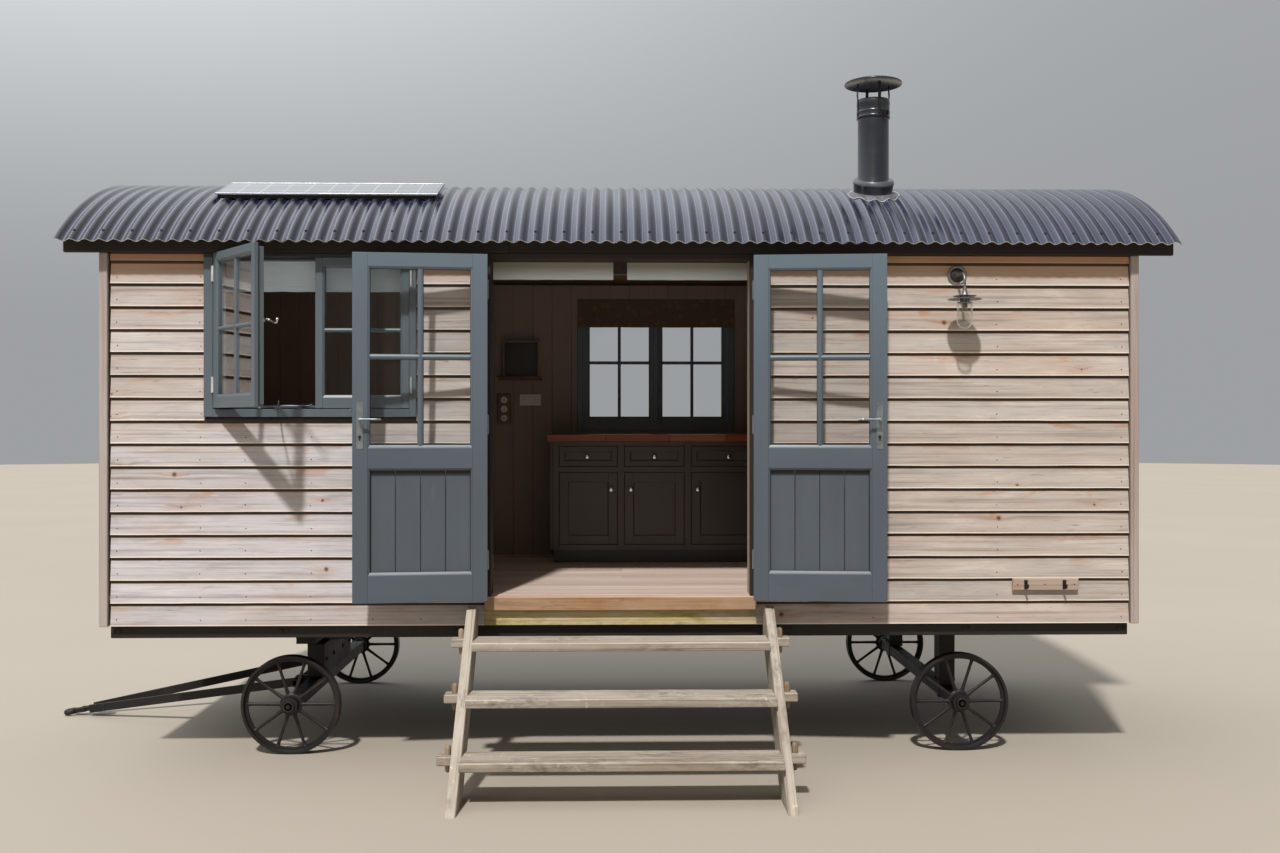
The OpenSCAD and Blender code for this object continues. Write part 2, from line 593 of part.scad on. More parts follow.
// square axle bar with round stubs and end caps, centred on x
module axle(x) {
  box([x - 35, hub_in + 3, axle_z - 35], [x + 35, body_d - hub_in - 3, axle_z + 35]);
  bar_y(x, axle_z, 22, near_y - 72, body_d - near_y + 72);
  for (y = [near_y - 72, body_d - near_y + 60]) bar_y(x, axle_z, 32, y, y + 12);
}
module rear_axle() { place() color([0.12, 0.11, 0.11]) {
  axle(rear_x);
  for (y = [420, body_d - 540]) box([rear_x - 45, y, axle_z + 34], [rear_x + 45, y + 120, chassis_z0]);
} }
module front_bolster() { place() color([0.12, 0.11, 0.11]) {
  box([front_x - 55, 500, 545], [front_x + 55, body_d - 500, chassis_z0]);
  translate([front_x, mid_y, 527]) cylinder(r = 240, h = 18);
  translate([front_x, mid_y, 400]) cylinder(r = 20, h = 140);
} }
module front_axle() { place() color([0.12, 0.11, 0.11]) {
  difference() {
    union() {
      axle(front_x);
      box([front_x - 50, mid_y - 380, axle_z + 34], [front_x + 50, mid_y + 380, 505]);
      translate([front_x, mid_y, 504]) cylinder(r = 240, h = 18);
    }
    translate([front_x, mid_y, 390]) cylinder(r = 20.05, h = 200);
  }
  // lugs and shaft for the draw bar
  for (y = [mid_y - 370, mid_y + 340]) {
    box([pivot_x, y, axle_z - 30], [front_x - 34, y + 30, axle_z + 45]);
    bar_y(pivot_x, pivot_z, 30, y, y + 30);
  }
  bar_y(pivot_x, pivot_z, 15, mid_y - 460, mid_y + 460);
  for (y = [mid_y - 460, mid_y + 450]) bar_y(pivot_x, pivot_z, 24, y, y + 10);
} }
// draw bar, drawn level along -x from its pivot, then dropped to the ground
module bar_place() { place() translate([pivot_x, mid_y, pivot_z]) rotate([0, -bar_drop, 0]) children(); }
arm_y0 = 412; arm_y1 = 34; arm_x1 = bar_l - 130;
arm_a = atan2(arm_y0 - arm_y1, arm_x1);
arm_len = sqrt(arm_x1 * arm_x1 + (arm_y0 - arm_y1) * (arm_y0 - arm_y1));
module draw_bar() { bar_place() color([0.09, 0.09, 0.10]) {
  for (s = [-1, 1]) difference() {
    union() {
      translate([0, s * arm_y0, 0]) rotate([0, 0, s * arm_a]) box([-arm_len, -7, -25], [0, 7, 25]);
      bar_y(0, 0, 28, s * arm_y0 - 18, s * arm_y0 + 18);
    }
    bar_y(0, 0, 15.05, s * arm_y0 - 40, s * arm_y0 + 40);
  }
} }
module draw_bar_eye() { bar_place() color([0.09, 0.09, 0.10]) difference() {
  union() {
    box([-bar_l + 24, -20, -14], [-arm_x1 + 120, 20, 14]);
    box([-bar_l + 62, -27, -15], [-bar_l + 100, 27, 15]);
    translate([-bar_l, 0, -eye_h]) cylinder(r = eye_r, h = 2 * eye_h);
  }
  translate([-bar_l, 0, -40]) cylinder(r = 20, h = 80);
} }

chassis_rails();
chassis_crossbeams();
floor_deck();
front_wall_left();
front_wall_right();
front_wall_head();
back_wall();
left_end_wall();
right_end_wall();
wall_boards();
corner_posts();
eave_fascias();
verge_boards();
roof_sheet();
roof_deck();
flue_pipe();
flue_flashing();
flue_cowl();
roof_panel();
door_frame();
door_sill();
frame_hinges();
front_window_frame();
front_casements();
back_window_frame();
window_glass();
kitchen_units();
kitchen_fronts();
kitchen_worktop();
door_blinds();
front_blind();
back_blind();
wall_fittings();
step_stringers();
step_treads();
step_pegs();
wall_lamp();
lamp_jar();
hook_rail();
rear_axle();
front_bolster();
left_door_leaf();
left_door_glass();
left_door_hardware();
left_door_lever();
right_door_leaf();
right_door_glass();
right_door_hardware();
right_door_lever();
front_axle();
draw_bar();
draw_bar_eye();
wheel_front_near();
wheel_front_far();
wheel_rear_near();
wheel_rear_far();
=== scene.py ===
# Looks of the shepherd's hut: detailed pieces, materials, light and camera
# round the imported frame. Lengths are metres in hut coordinates: x along the
# hut from its middle, y inwards from the front boards, z up from the ground.
import math
import random

import bpy
import numpy as np
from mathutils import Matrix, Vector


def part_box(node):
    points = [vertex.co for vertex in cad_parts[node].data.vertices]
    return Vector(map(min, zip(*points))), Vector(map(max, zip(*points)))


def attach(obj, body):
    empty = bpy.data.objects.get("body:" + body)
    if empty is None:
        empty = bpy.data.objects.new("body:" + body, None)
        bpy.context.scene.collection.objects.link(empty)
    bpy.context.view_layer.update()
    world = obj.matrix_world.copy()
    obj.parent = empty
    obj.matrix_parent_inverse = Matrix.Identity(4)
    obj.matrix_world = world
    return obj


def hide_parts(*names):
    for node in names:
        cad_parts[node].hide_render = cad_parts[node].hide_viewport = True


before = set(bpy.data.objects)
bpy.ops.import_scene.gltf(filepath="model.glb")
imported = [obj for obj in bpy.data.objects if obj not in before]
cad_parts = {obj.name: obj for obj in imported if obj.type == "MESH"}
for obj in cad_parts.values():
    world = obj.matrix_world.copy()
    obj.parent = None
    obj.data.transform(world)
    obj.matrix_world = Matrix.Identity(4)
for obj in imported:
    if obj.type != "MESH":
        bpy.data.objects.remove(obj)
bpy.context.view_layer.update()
lo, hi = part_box("floor_deck")
OX, OY = (lo[0] + hi[0]) / 2, (lo[1] + hi[1]) / 2 - 1.125
SHIFT = np.array([OX, OY, 0.0])
rnd = random.Random(1873)
rad = math.radians

# ------------------------------------------------------------------ camera
cam_data = bpy.data.cameras.new("view")
cam_data.lens = 35.0
cam_data.sensor_width = 36.0
cam_data.sensor_fit = "HORIZONTAL"
cam_data.clip_end = 300.0
cam = bpy.data.objects.new("view", cam_data)
cam.location = (-0.065 + OX, -6.72 + OY, 1.80)
cam.rotation_euler = (rad(90), 0, rad(-1.3))
bpy.context.scene.collection.objects.link(cam)
bpy.context.scene.camera = cam


# --------------------------------------------------------------- node graph
def lin(r, g, b, a=1.0):
    def f(c):
        c /= 255.0
        return c / 12.92 if c <= 0.04045 else ((c + 0.055) / 1.055) ** 2.4
    return (f(r), f(g), f(b), a)


class Graph:
    """A material with short calls for its nodes."""

    def __init__(self, name, rough=0.5, metal=0.0, color=None, spec=None):
        self.mat = bpy.data.materials.new(name)
        self.mat.use_nodes = True
        self.nt = self.mat.node_tree
        self.nt.nodes.clear()
        self.out = self.nt.nodes.new("ShaderNodeOutputMaterial")
        self.b = self.nt.nodes.new("ShaderNodeBsdfPrincipled")
        self.nt.links.new(self.b.outputs[0], self.out.inputs["Surface"])
        self.b.inputs["Roughness"].default_value = rough
        self.b.inputs["Metallic"].default_value = metal
        if color:
            self.b.inputs["Base Color"].default_value = color
        if spec is not None:
            self.b.inputs["Specular IOR Level"].default_value = spec

    def put(self, sock, value):
        if isinstance(value, bpy.types.NodeSocket):
            self.nt.links.new(value, sock)
        else:
            sock.default_value = value

    def attr(self, name):
        n = self.nt.nodes.new("ShaderNodeAttribute")
        n.attribute_type = "GEOMETRY"
        n.attribute_name = name
        return n

    def obj(self):
        return self.nt.nodes.new("ShaderNodeTexCoord").outputs["Object"]

    def map(self, vec, scale=(1, 1, 1), loc=(0, 0, 0), rot=(0, 0, 0)):
        n = self.nt.nodes.new("ShaderNodeMapping")
        self.put(n.inputs["Vector"], vec)
        n.inputs["Scale"].default_value = scale
        n.inputs["Location"].default_value = loc
        n.inputs["Rotation"].default_value = rot
        return n.outputs[0]

    def noise(self, vec, scale=1.0, detail=4.0, rough=0.55, dist=0.0):
        n = self.nt.nodes.new("ShaderNodeTexNoise")
        self.put(n.inputs["Vector"], vec)
        n.inputs["Scale"].default_value = scale
        n.inputs["Detail"].default_value = detail
        n.inputs["Roughness"].default_value = rough
        n.inputs["Distortion"].default_value = dist
        return n.outputs["Fac"]

    def voro(self, vec, scale=1.0, feature="F1", out="Distance", rand=1.0):
        n = self.nt.nodes.new("ShaderNodeTexVoronoi")
        n.feature = feature
        self.put(n.inputs["Vector"], vec)
        n.inputs["Scale"].default_value = scale
        n.inputs["Randomness"].default_value = rand
        return n.outputs[out]

    def wave(self, vec, scale=1.0, dist=0.0, axis="X", detail=2.0):
        n = self.nt.nodes.new("ShaderNodeTexWave")
        n.bands_direction = axis
        self.put(n.inputs["Vector"], vec)
        n.inputs["Scale"].default_value = scale
        n.inputs["Distortion"].default_value = dist
        n.inputs["Detail"].default_value = detail
        return n.outputs["Fac"]

    def ramp(self, fac, stops, mode="LINEAR"):
        n = self.nt.nodes.new("ShaderNodeValToRGB")
        self.put(n.inputs["Fac"], fac)
        r = n.color_ramp
        r.interpolation = mode
        while len(r.elements) < len(stops):
            r.elements.new(0.5)
        for e, (p, c) in zip(r.elements, stops):
            e.position = p
            e.color = c if hasattr(c, "__len__") else (c, c, c, 1)
        return n.outputs["Color"]

    def mix(self, fac, a, b, blend="MIX"):
        n = self.nt.nodes.new("ShaderNodeMix")
        n.data_type = "RGBA"
        n.blend_type = blend
        self.put(n.inputs["Factor"], fac)
        self.put(n.inputs[6], a)
        self.put(n.inputs[7], b)
        return n.outputs[2]

    def math(self, op, a, b=0.0, clamp=False):
        n = self.nt.nodes.new("ShaderNodeMath")
        n.operation = op
        n.use_clamp = clamp
        self.put(n.inputs[0], a)
        self.put(n.inputs[1], b)
        return n.outputs[0]

    def range(self, v, a, b, c=0.0, d=1.0):
        n = self.nt.nodes.new("ShaderNodeMapRange")
        self.put(n.inputs["Value"], v)
        for k, x in (("From Min", a), ("From Max", b), ("To Min", c), ("To Max", d)):
            n.inputs[k].default_value = x
        return n.outputs[0]

    def hsv(self, color, hue=0.5, sat=1.0, val=1.0):
        n = self.nt.nodes.new("ShaderNodeHueSaturation")
        self.put(n.inputs["Color"], color)
        self.put(n.inputs["Hue"], hue)
        self.put(n.inputs["Saturation"], sat)
        self.put(n.inputs["Value"], val)
        return n.outputs[0]

    def bump(self, height, strength=0.3, distance=0.002):
        n = self.nt.nodes.new("ShaderNodeBump")
        n.inputs["Strength"].default_value = strength
        n.inputs["Distance"].default_value = distance
        self.put(n.inputs["Height"], height)
        self.nt.links.new(n.outputs[0], self.b.inputs["Normal"])

    def color(self, c):
        self.put(self.b.inputs["Base Color"], c)

    def rough(self, r):
        self.put(self.b.inputs["Roughness"], r)


def wood(name, base, alt, grey, accent, dark, knots=0.0, rough=0.75, grain=0.35,
         bump=0.35, accents=0.5, greys=0.5, spread=0.22, edge=None, lichen=None, stain=None):
    """Boards in local coordinates: wc.x runs with the grain."""
    g = Graph(name, rough=rough)
    wc = g.attr("wc").outputs["Vector"]
    bid = g.attr("bid").outputs["Fac"]
    ac = g.attr("ac").outputs["Fac"]
    fine = g.noise(g.map(wc, (2.2, 150, 150)), 1, 5, 0.62)
    lines = g.noise(g.map(wc, (0.8, 55, 55)), 1, 4, 0.55, 0.35)
    streak = g.noise(g.map(wc, (0.55, 11, 11)), 1, 3, 0.5, 0.2)
    blotch = g.noise(g.map(wc, (2.4, 7, 7)), 1, 4, 0.6)
    hot = g.noise(g.map(wc, (1.7, 9, 5), loc=(3.1, 7.7, 1.3)), 1, 4, 0.62, 0.5)
    c = g.mix(g.range(streak, 0.38, 0.62), base, alt)
    c = g.mix(g.math("MULTIPLY", g.range(blotch, 0.45, 0.72), greys), c, grey)
    c = g.mix(g.math("MULTIPLY", g.range(hot, 0.56, 0.72), accents), c, accent)
    # a pale band along the tread nose where ac is high: a painted highlight
    if edge:
        top = g.math("MULTIPLY", g.range(g.math("ADD", ac, g.math("MULTIPLY", blotch, 0.35)), 0.90, 1.10), 0.7)
        c = g.mix(top, c, edge)
    c = g.mix(g.math("MULTIPLY", g.range(lines, 0.5, 0.72), grain), c, dark)
    c = g.mix(g.math("MULTIPLY", g.range(fine, 0.52, 0.75), grain * 0.7), c, dark)
    if knots > 0:
        kv = g.map(wc, (1.15, 6.5, 3.0))
        d = g.voro(kv, 1.0)
        gate = g.range(g.noise(g.map(wc, (0.9, 4.0, 3.0), loc=(9, 2, 5)), 1, 1, 0.5), 0.5, 0.54)
        ring = g.math("MULTIPLY", g.range(d, 0.22, 0.08), gate)
        c = g.mix(g.math("MULTIPLY", ring, 0.75 * knots), c, accent)
        core = g.math("MULTIPLY", g.range(d, 0.085, 0.035), gate)
        c = g.mix(g.math("MULTIPLY", core, 0.9 * knots), c, dark)
    if stain:
        s1_ = g.noise(g.map(wc, (14, 40, 40), loc=(2, 6, 9)), 1, 5, 0.68)
        s2_ = g.noise(g.map(wc, (1.9, 5, 5), loc=(8, 1, 3)), 1, 3, 0.55)
        c = g.mix(g.math("MULTIPLY", g.math("MULTIPLY", g.range(s1_, 0.44, 0.62), g.range(s2_, 0.42, 0.62)), 0.62), c, stain)
    if lichen:
        l1 = g.noise(g.map(wc, (30, 30, 30)), 1, 5, 0.7)
        l2 = g.noise(g.map(wc, (3, 5, 5), loc=(4, 4, 4)), 1, 2, 0.5)
        m = g.math("MULTIPLY", g.range(l1, 0.57, 0.66), g.range(l2, 0.5, 0.62))
        c = g.mix(g.math("MULTIPLY", m, 0.75), c, lichen)
    c = g.hsv(c, g.range(bid, 0, 1, 0.494, 0.506), g.range(bid, 0, 1, 1.12, 0.86),
              g.range(bid, 0, 1, 1 - spread / 2, 1 + spread / 2))
    g.color(c)
    g.rough(g.range(lines, 0.3, 0.7, rough - 0.08, rough + 0.1))
    h = g.math("ADD", g.math("MULTIPLY", lines, 0.7), g.math("MULTIPLY", fine, 0.5))
    g.bump(h, bump, 0.0015)
    return g.mat


def clad_wood(name, base, alt, warm, orange, line, edge, bump=0.4, pale=None, eave=None):
    """Silvered boards: fine fibres, a warmer band under each lap, small knots
    with a flame, a pale lower edge painted as a highlight, a near-black strip of painted shadow
    just under each lap and, given eave, warmer darker boards under the eave that are partly
    sheltered timber and partly painted shade. ac runs from the top, 0, to the butt, 1."""
    g = Graph(name, rough=0.8)
    nt = g.nt
    wc = g.attr("wc").outputs["Vector"]
    bid = g.attr("bid").outputs["Fac"]
    ac = g.attr("ac").outputs["Fac"]
    kv = g.map(wc, (1.25, 5.5, 0.0))
    vo = nt.nodes.new("ShaderNodeTexVoronoi")
    g.put(vo.inputs["Vector"], kv)
    vo.inputs["Scale"].default_value = 1.0
    sub = nt.nodes.new("ShaderNodeVectorMath")
    sub.operation = "SUBTRACT"
    g.put(sub.inputs[0], kv)
    g.put(sub.inputs[1], vo.outputs["Position"])
    rgb = nt.nodes.new("ShaderNodeSeparateColor")
    g.put(rgb.inputs[0], vo.outputs["Color"])

    def length(scale):
        n = nt.nodes.new("ShaderNodeVectorMath")
        n.operation = "LENGTH"
        g.put(n.inputs[0], g.map(sub.outputs[0], scale))
        return n.outputs["Value"]
    rough_edge = g.noise(g.map(wc, (30, 90, 90)), 1, 3, 0.6)
    soft_edge = g.noise(g.map(wc, (5, 22, 22)), 1, 3, 0.6)
    r = g.math("ADD", length((1 / 1.25, 1 / 5.5, 0)), g.math("MULTIPLY", rough_edge, 0.006))
    far = g.math("ADD", length((0.22 / 1.25, 1 / 5.5, 0)), g.math("MULTIPLY", soft_edge, 0.035))
    some = g.range(rgb.outputs[0], 0.68, 0.70)
    size = g.range(rgb.outputs[1], 0, 1, 0.5, 1.15)
    rk = g.math("DIVIDE", r, size)
    halo = g.math("MULTIPLY", g.range(far, 0.046, 0.018), some)
    bend = nt.nodes.new("ShaderNodeCombineXYZ")
    g.put(bend.inputs[1], g.math("MULTIPLY", halo, 0.018))
    wv = nt.nodes.new("ShaderNodeVectorMath")
    g.put(wv.inputs[0], wc)
    g.put(wv.inputs[1], bend.outputs[0])
    wb = wv.outputs[0]
    fine = g.noise(g.map(wb, (3.0, 210, 210)), 1, 4, 0.62)
    lines = g.noise(g.map(wb, (0.8, 52, 52)), 1, 4, 0.55, 0.3)
    streak = g.noise(g.map(wb, (0.5, 10, 10)), 1, 3, 0.5, 0.3)
    blotch = g.noise(g.map(wc, (1.8, 5, 5)), 1, 4, 0.6)
    wide = g.noise(g.map(wc, (0.9, 2.0, 2.0), loc=(7, 3, 1)), 1, 2, 0.5)
    c = g.mix(g.range(streak, 0.36, 0.64), base, alt)
    xyz = nt.nodes.new("ShaderNodeSeparateXYZ")
    g.put(xyz.inputs[0], g.obj())
    if pale:
        c = g.mix(g.math("MULTIPLY", g.range(xyz.outputs[0], OX + 0.9, OX - 1.2), g.range(xyz.outputs[2], 1.86, 1.68, 0.35, 1.0)), c, pale)
    c = g.mix(g.math("MULTIPLY", g.range(wide, 0.5, 0.68), 0.5), c, warm)
    hgt = g.math("ADD", ac, g.math("MULTIPLY", g.math("SUBTRACT", blotch, 0.5), 0.8))
    c = g.mix(g.math("MULTIPLY", g.range(hgt, 0.36, 0.04), 0.75), c, warm)
    hot = g.noise(g.map(wb, (3.6, 15, 9), loc=(3.1, 7.7, 1.3)), 1, 4, 0.6, 0.7)
    up = g.range(ac, 0.55, 0.14, 0.12, 1.0)
    c = g.mix(g.math("MULTIPLY", g.math("MULTIPLY", g.range(hot, 0.555, 0.665), up), 0.78), c, orange)
    c = g.mix(g.math("MULTIPLY", halo, 0.32), c, orange)
    dull = g.noise(g.map(wb, (2.6, 13, 13), loc=(5, 1, 8)), 1, 5, 0.66, 0.4)
    c = g.mix(g.math("MULTIPLY", g.range(dull, 0.50, 0.66), 0.40), c, g_scaled(base, 0.62))
    c = g.mix(g.math("MULTIPLY", g.range(dull, 0.46, 0.34), 0.20), c, edge)
    c = g.mix(g.math("MULTIPLY", g.range(lines, 0.50, 0.72), 0.50), c, line)
    c = g.mix(g.math("MULTIPLY", g.range(fine, 0.54, 0.72), 0.42), c, line)
    check = g.noise(g.map(wc, (7, 130, 130), loc=(1, 5, 2)), 1, 2, 0.5)
    c = g.mix(g.math("MULTIPLY", g.range(check, 0.71, 0.75), 0.55), c, g_scaled(line, 0.4))
    ring = g.math("MULTIPLY", g.range(rk, 0.019, 0.013), some)
    c = g.mix(g.math("MULTIPLY", ring, 0.7), c, g_scaled(orange, 0.55))
    core = g.math("MULTIPLY", g.range(rk, 0.0115, 0.0085), some)
    c = g.mix(g.math("MULTIPLY", core, 0.85), c, lin(70, 50, 40))
    # painted highlight: a pale line along the lower edge of each board
    c = g.mix(g.math("MULTIPLY", g.range(ac, 0.950, 0.980), 0.85), c, edge)
    # under the eave: a warmer tone of sheltered timber, and painted shade of the eave
    if eave:
        c = g.mix(g.math("MULTIPLY", g.range(xyz.outputs[2], 2.575, 2.650), 0.7), c, eave)
    # painted shadow: a near-black strip just under each lap
    c = g.mix(g.math("MULTIPLY", g.range(ac, 0.222, 0.192), 0.9), c, lin(32, 19, 10))
    c = g.hsv(c, g.range(bid, 0, 1, 0.496, 0.504), g.range(bid, 0, 1, 1.15, 0.82),
              g.range(g.math("FRACT", g.math("MULTIPLY", bid, 7.31)), 0, 1, 0.96, 1.12))
    g.color(c)
    g.rough(g.range(lines, 0.3, 0.7, 0.72, 0.9))
    h = g.math("ADD", g.math("MULTIPLY", lines, 0.7), g.math("MULTIPLY", fine, 0.5))
    h = g.math("SUBTRACT", h, g.math("MULTIPLY", g.range(check, 0.70, 0.75), 0.6))
    h = g.math("ADD", h, g.math("MULTIPLY", core, 0.5))
    g.bump(h, bump, 0.0015)
    return g.mat


def paint(name, base, worn=None, rough=0.42, var=0.10, bump=0.16, wear=0.35, painted_top_light=None, painted_shade_band=None):
    """Brushed paint on timber, with faint grain and rubbed spots."""
    g = Graph(name, rough=rough)
    wc = g.attr("wc").outputs["Vector"]
    bid = g.attr("bid").outputs["Fac"]
    brush = g.noise(g.map(wc, (1.3, 120, 120)), 1, 4, 0.6)
    soft = g.noise(g.map(wc, (1.6, 4, 4)), 1, 4, 0.55)
    grain = g.noise(g.map(wc, (1.0, 42, 42)), 1, 3, 0.55, 0.4)
    c = g.mix(g.range(soft, 0.32, 0.68), g_scaled(base, 1 - var), g_scaled(base, 1 + var))
    c = g.mix(g.math("MULTIPLY", g.range(grain, 0.5, 0.8), 0.16), c, g_scaled(base, 0.72))
    if worn:
        spot = g.noise(g.map(wc, (7, 22, 22)), 1, 5, 0.68)
        c = g.mix(g.math("MULTIPLY", g.range(spot, 0.62, 0.72), wear), c, worn)
    c = g.hsv(c, 0.5, 1.0, g.range(bid, 0, 1, 0.965, 1.035))
    if painted_top_light or painted_shade_band:
        sep = g.nt.nodes.new("ShaderNodeSeparateXYZ")
        g.put(sep.inputs[0], g.obj())
        if painted_top_light:        # painted light: lighter towards the top
            c = g.mix(g.range(sep.outputs[2], painted_top_light[0], painted_top_light[1]), c, painted_top_light[2])
        if painted_shade_band:       # painted shade: a dark band under a rail or under the eave
            c = g.mix(g.math("MULTIPLY", g.range(sep.outputs[2], painted_shade_band[0], painted_shade_band[1]), 0.88), c, painted_shade_band[2])
    g.color(c)
    g.rough(g.range(soft, 0.3, 0.7, rough - 0.06, rough + 0.09))
    g.bump(g.math("ADD", g.math("MULTIPLY", brush, 0.5), grain), bump, 0.0008)
    return g.mat


def g_scaled(c, k):
    return (min(c[0] * k, 1), min(c[1] * k, 1), min(c[2] * k, 1), 1)


def metal(name, base, rough=0.35, metallic=1.0, tint=None, spots=0.3, scale=9.0, bump=0.08, spec=None):
    g = Graph(name, rough=rough, metal=metallic, spec=spec)
    o = g.obj()
    big = g.noise(g.map(o, (scale, scale, scale)), 1, 5, 0.6)
    small = g.noise(g.map(o, (scale * 14,) * 3), 1, 3, 0.6)
    c = g.mix(g.range(big, 0.35, 0.65), g_scaled(base, 0.86), g_scaled(base, 1.12))
    if tint:
        c = g.mix(g.math("MULTIPLY", g.range(g.math("ADD", g.math("MULTIPLY", big, 0.6), g.math("MULTIPLY", small, 0.4)), 0.52, 0.66), spots), c, tint)
    g.color(c)
    g.rough(g.range(big, 0.3, 0.7, max(rough - 0.08, 0.03), rough + 0.12))
    g.bump(small, bump, 0.001)
    return g.mat


def glass(name, tint=(0.985, 0.99, 0.99, 1), shine=0.02, level=0.02, dust=0.012, rim=0.0):
    """Thin pane: light passes straight, the surface mirrors by its angle."""
    g = Graph(name)
    nt = g.nt
    nt.nodes.remove(g.b)
    clear = nt.nodes.new("ShaderNodeBsdfTransparent")
    clear.inputs["Color"].default_value = tint
    gloss = nt.nodes.new("ShaderNodeBsdfGlossy")
    gloss.inputs["Roughness"].default_value = shine
    gloss.inputs["Color"].default_value = (0.95, 0.97, 1.0, 1)
    face = nt.nodes.new("ShaderNodeLayerWeight")
    face.inputs["Blend"].default_value = 0.5
    edge = g.math("ADD", g.math("MULTIPLY", g.math("POWER", face.outputs["Facing"], 3.6), 0.9), level)
    smear = g.noise(g.map(g.obj(), (6, 6, 6)), 1, 4, 0.6)
    fac = g.math("ADD", edge, g.range(smear, 0.4, 0.75, 0.0, dust), clamp=True)
    m = nt.nodes.new("ShaderNodeMixShader")
    nt.links.new(fac, m.inputs[0])
    nt.links.new(clear.outputs[0], m.inputs[1])
    nt.links.new(gloss.outputs[0], m.inputs[2])
    last = m.outputs[0]
    if rim:
        pale = nt.nodes.new("ShaderNodeBsdfGlossy")
        pale.inputs["Roughness"].default_value = 0.55
        pale.inputs["Color"].default_value = (0.95, 0.96, 0.95, 1)
        k = nt.nodes.new("ShaderNodeMixShader")
        nt.links.new(g.math("MULTIPLY", g.math("POWER", face.outputs["Facing"], 3.0), rim), k.inputs[0])
        nt.links.new(last, k.inputs[1])
        nt.links.new(pale.outputs[0], k.inputs[2])
        last = k.outputs[0]
    nt.links.new(last, g.out.inputs["Surface"])
    return g.mat


def fabric(name, base, other, weave=900.0, rough=0.9, pattern=None, head=None):
    g = Graph(name, rough=rough)
    g.b.inputs["Sheen Weight"].default_value = 0.25
    g.b.inputs["Sheen Roughness"].default_value = 0.5
    wc = g.attr("wc").outputs["Vector"]
    a = g.wave(g.map(wc, (weave, 1, 1)), 0.16, 0.4, "X")
    b = g.wave(g.map(wc, (1, weave, 1)), 0.16, 0.4, "Y")
    h = g.math("MAXIMUM", a, b)
    slub = g.noise(g.map(wc, (6, 160, 1)), 1, 3, 0.6)
    c = g.mix(g.range(slub, 0.35, 0.7), base, other)
    if pattern:
        cell = g.voro(g.map(wc, (16, 16, 1)), 1.0)
        stem = g.noise(g.map(wc, (9, 9, 1)), 1, 3, 0.55, 1.6)
        c = g.mix(g.math("MULTIPLY", g.range(cell, 0.34, 0.27), 0.85), c, pattern[0])
        c = g.mix(g.math("MULTIPLY", g.range(g.math("ABSOLUTE", g.math("SUBTRACT", stem, 0.5)), 0.022, 0.008), 0.8), c, pattern[1])
        c = g.mix(g.math("MULTIPLY", g.range(cell, 0.12, 0.08), 0.9), c, pattern[2])
    c = g.mix(g.math("MULTIPLY", h, 0.12), c, g_scaled(base, 0.6))
    # painted shade: the cloth darker towards its top, under the door head
    if head:
        sep = g.nt.nodes.new("ShaderNodeSeparateXYZ")
        g.put(sep.inputs[0], g.obj())
        c = g.mix(g.math("MULTIPLY", g.range(sep.outputs[2], head[0], head[1]), 0.75), c, head[2])
    g.color(c)
    g.bump(h, 0.3, 0.0006)
    return g.mat


M = {}
M["clad"] = clad_wood("clad_boards", lin(187, 181, 176), lin(185, 174, 167), lin(184, 164, 149), lin(180, 126, 88),
                      lin(112, 88, 74), lin(240, 226, 214), pale=lin(194, 192, 198), eave=lin(192, 142, 100))
M["clad_end"] = clad_wood("end_boards", lin(187, 181, 176), lin(185, 174, 167), lin(184, 164, 149), lin(180, 126, 88),
                          lin(118, 94, 80), lin(232, 220, 208))
M["corner"] = wood("corner_timber", lin(178, 168, 164), lin(168, 153, 147), lin(184, 178, 174), lin(178, 138, 112),
                   lin(112, 88, 74), knots=0.5, grain=0.4, accents=0.35, greys=0.6, spread=0.12, bump=0.5)
M["dark"] = wood("dark_boards", lin(40, 29, 24), lin(34, 25, 21), lin(48, 40, 36), lin(52, 36, 27),
                 lin(24, 18, 16), grain=0.4, accents=0.3, greys=0.3, spread=0.16, rough=0.7, bump=0.3)
M["frame"] = wood("frame_timber", lin(156, 124, 104), lin(140, 108, 88), lin(150, 134, 122), lin(150, 98, 62),
                  lin(86, 60, 46), knots=0.6, grain=0.4, spread=0.14, bump=0.35)
M["sill"] = wood("sill_timber", lin(206, 180, 164), lin(196, 164, 142), lin(190, 180, 172), lin(196, 142, 92),
                 lin(122, 88, 66), knots=0.4, grain=0.4, spread=0.12, bump=0.35)
M["sill_front"] = wood("sill_edge", lin(178, 154, 128), lin(164, 136, 106), lin(186, 168, 146), lin(178, 134, 92),
                       lin(100, 74, 52), knots=0.3, grain=0.6, spread=0.12, bump=0.4, stain=lin(126, 98, 70))
M["sill_low"] = wood("sill_low_board", lin(202, 186, 146), lin(186, 172, 118), lin(200, 190, 172), lin(170, 168, 88),
                     lin(96, 86, 56), knots=0.2, grain=0.55, spread=0.12, bump=0.4, accents=0.8,
                     greys=0.7, stain=lin(112, 108, 62))
M["steps"] = wood("steps_timber", lin(176, 165, 153), lin(160, 148, 136), lin(190, 184, 172), lin(166, 144, 112),
                  lin(70, 62, 54), knots=0.5, grain=0.62, accents=0.35, greys=0.75, spread=0.18, bump=0.75,
                  edge=lin(214, 204, 190), lichen=lin(208, 206, 190), stain=lin(84, 76, 66))
M["tread_edge"] = M["steps"]
M["pegs"] = wood("peg_timber", lin(158, 142, 122), lin(142, 122, 100), lin(150, 144, 136), lin(150, 116, 80),
                 lin(74, 62, 52), grain=0.6, spread=0.3, bump=0.6)
M["rail"] = wood("rail_timber", lin(180, 163, 150), lin(166, 147, 133), lin(172, 162, 154), lin(172, 134, 104),
                 lin(90, 66, 50), knots=0.5, grain=0.45, spread=0.1, bump=0.4)
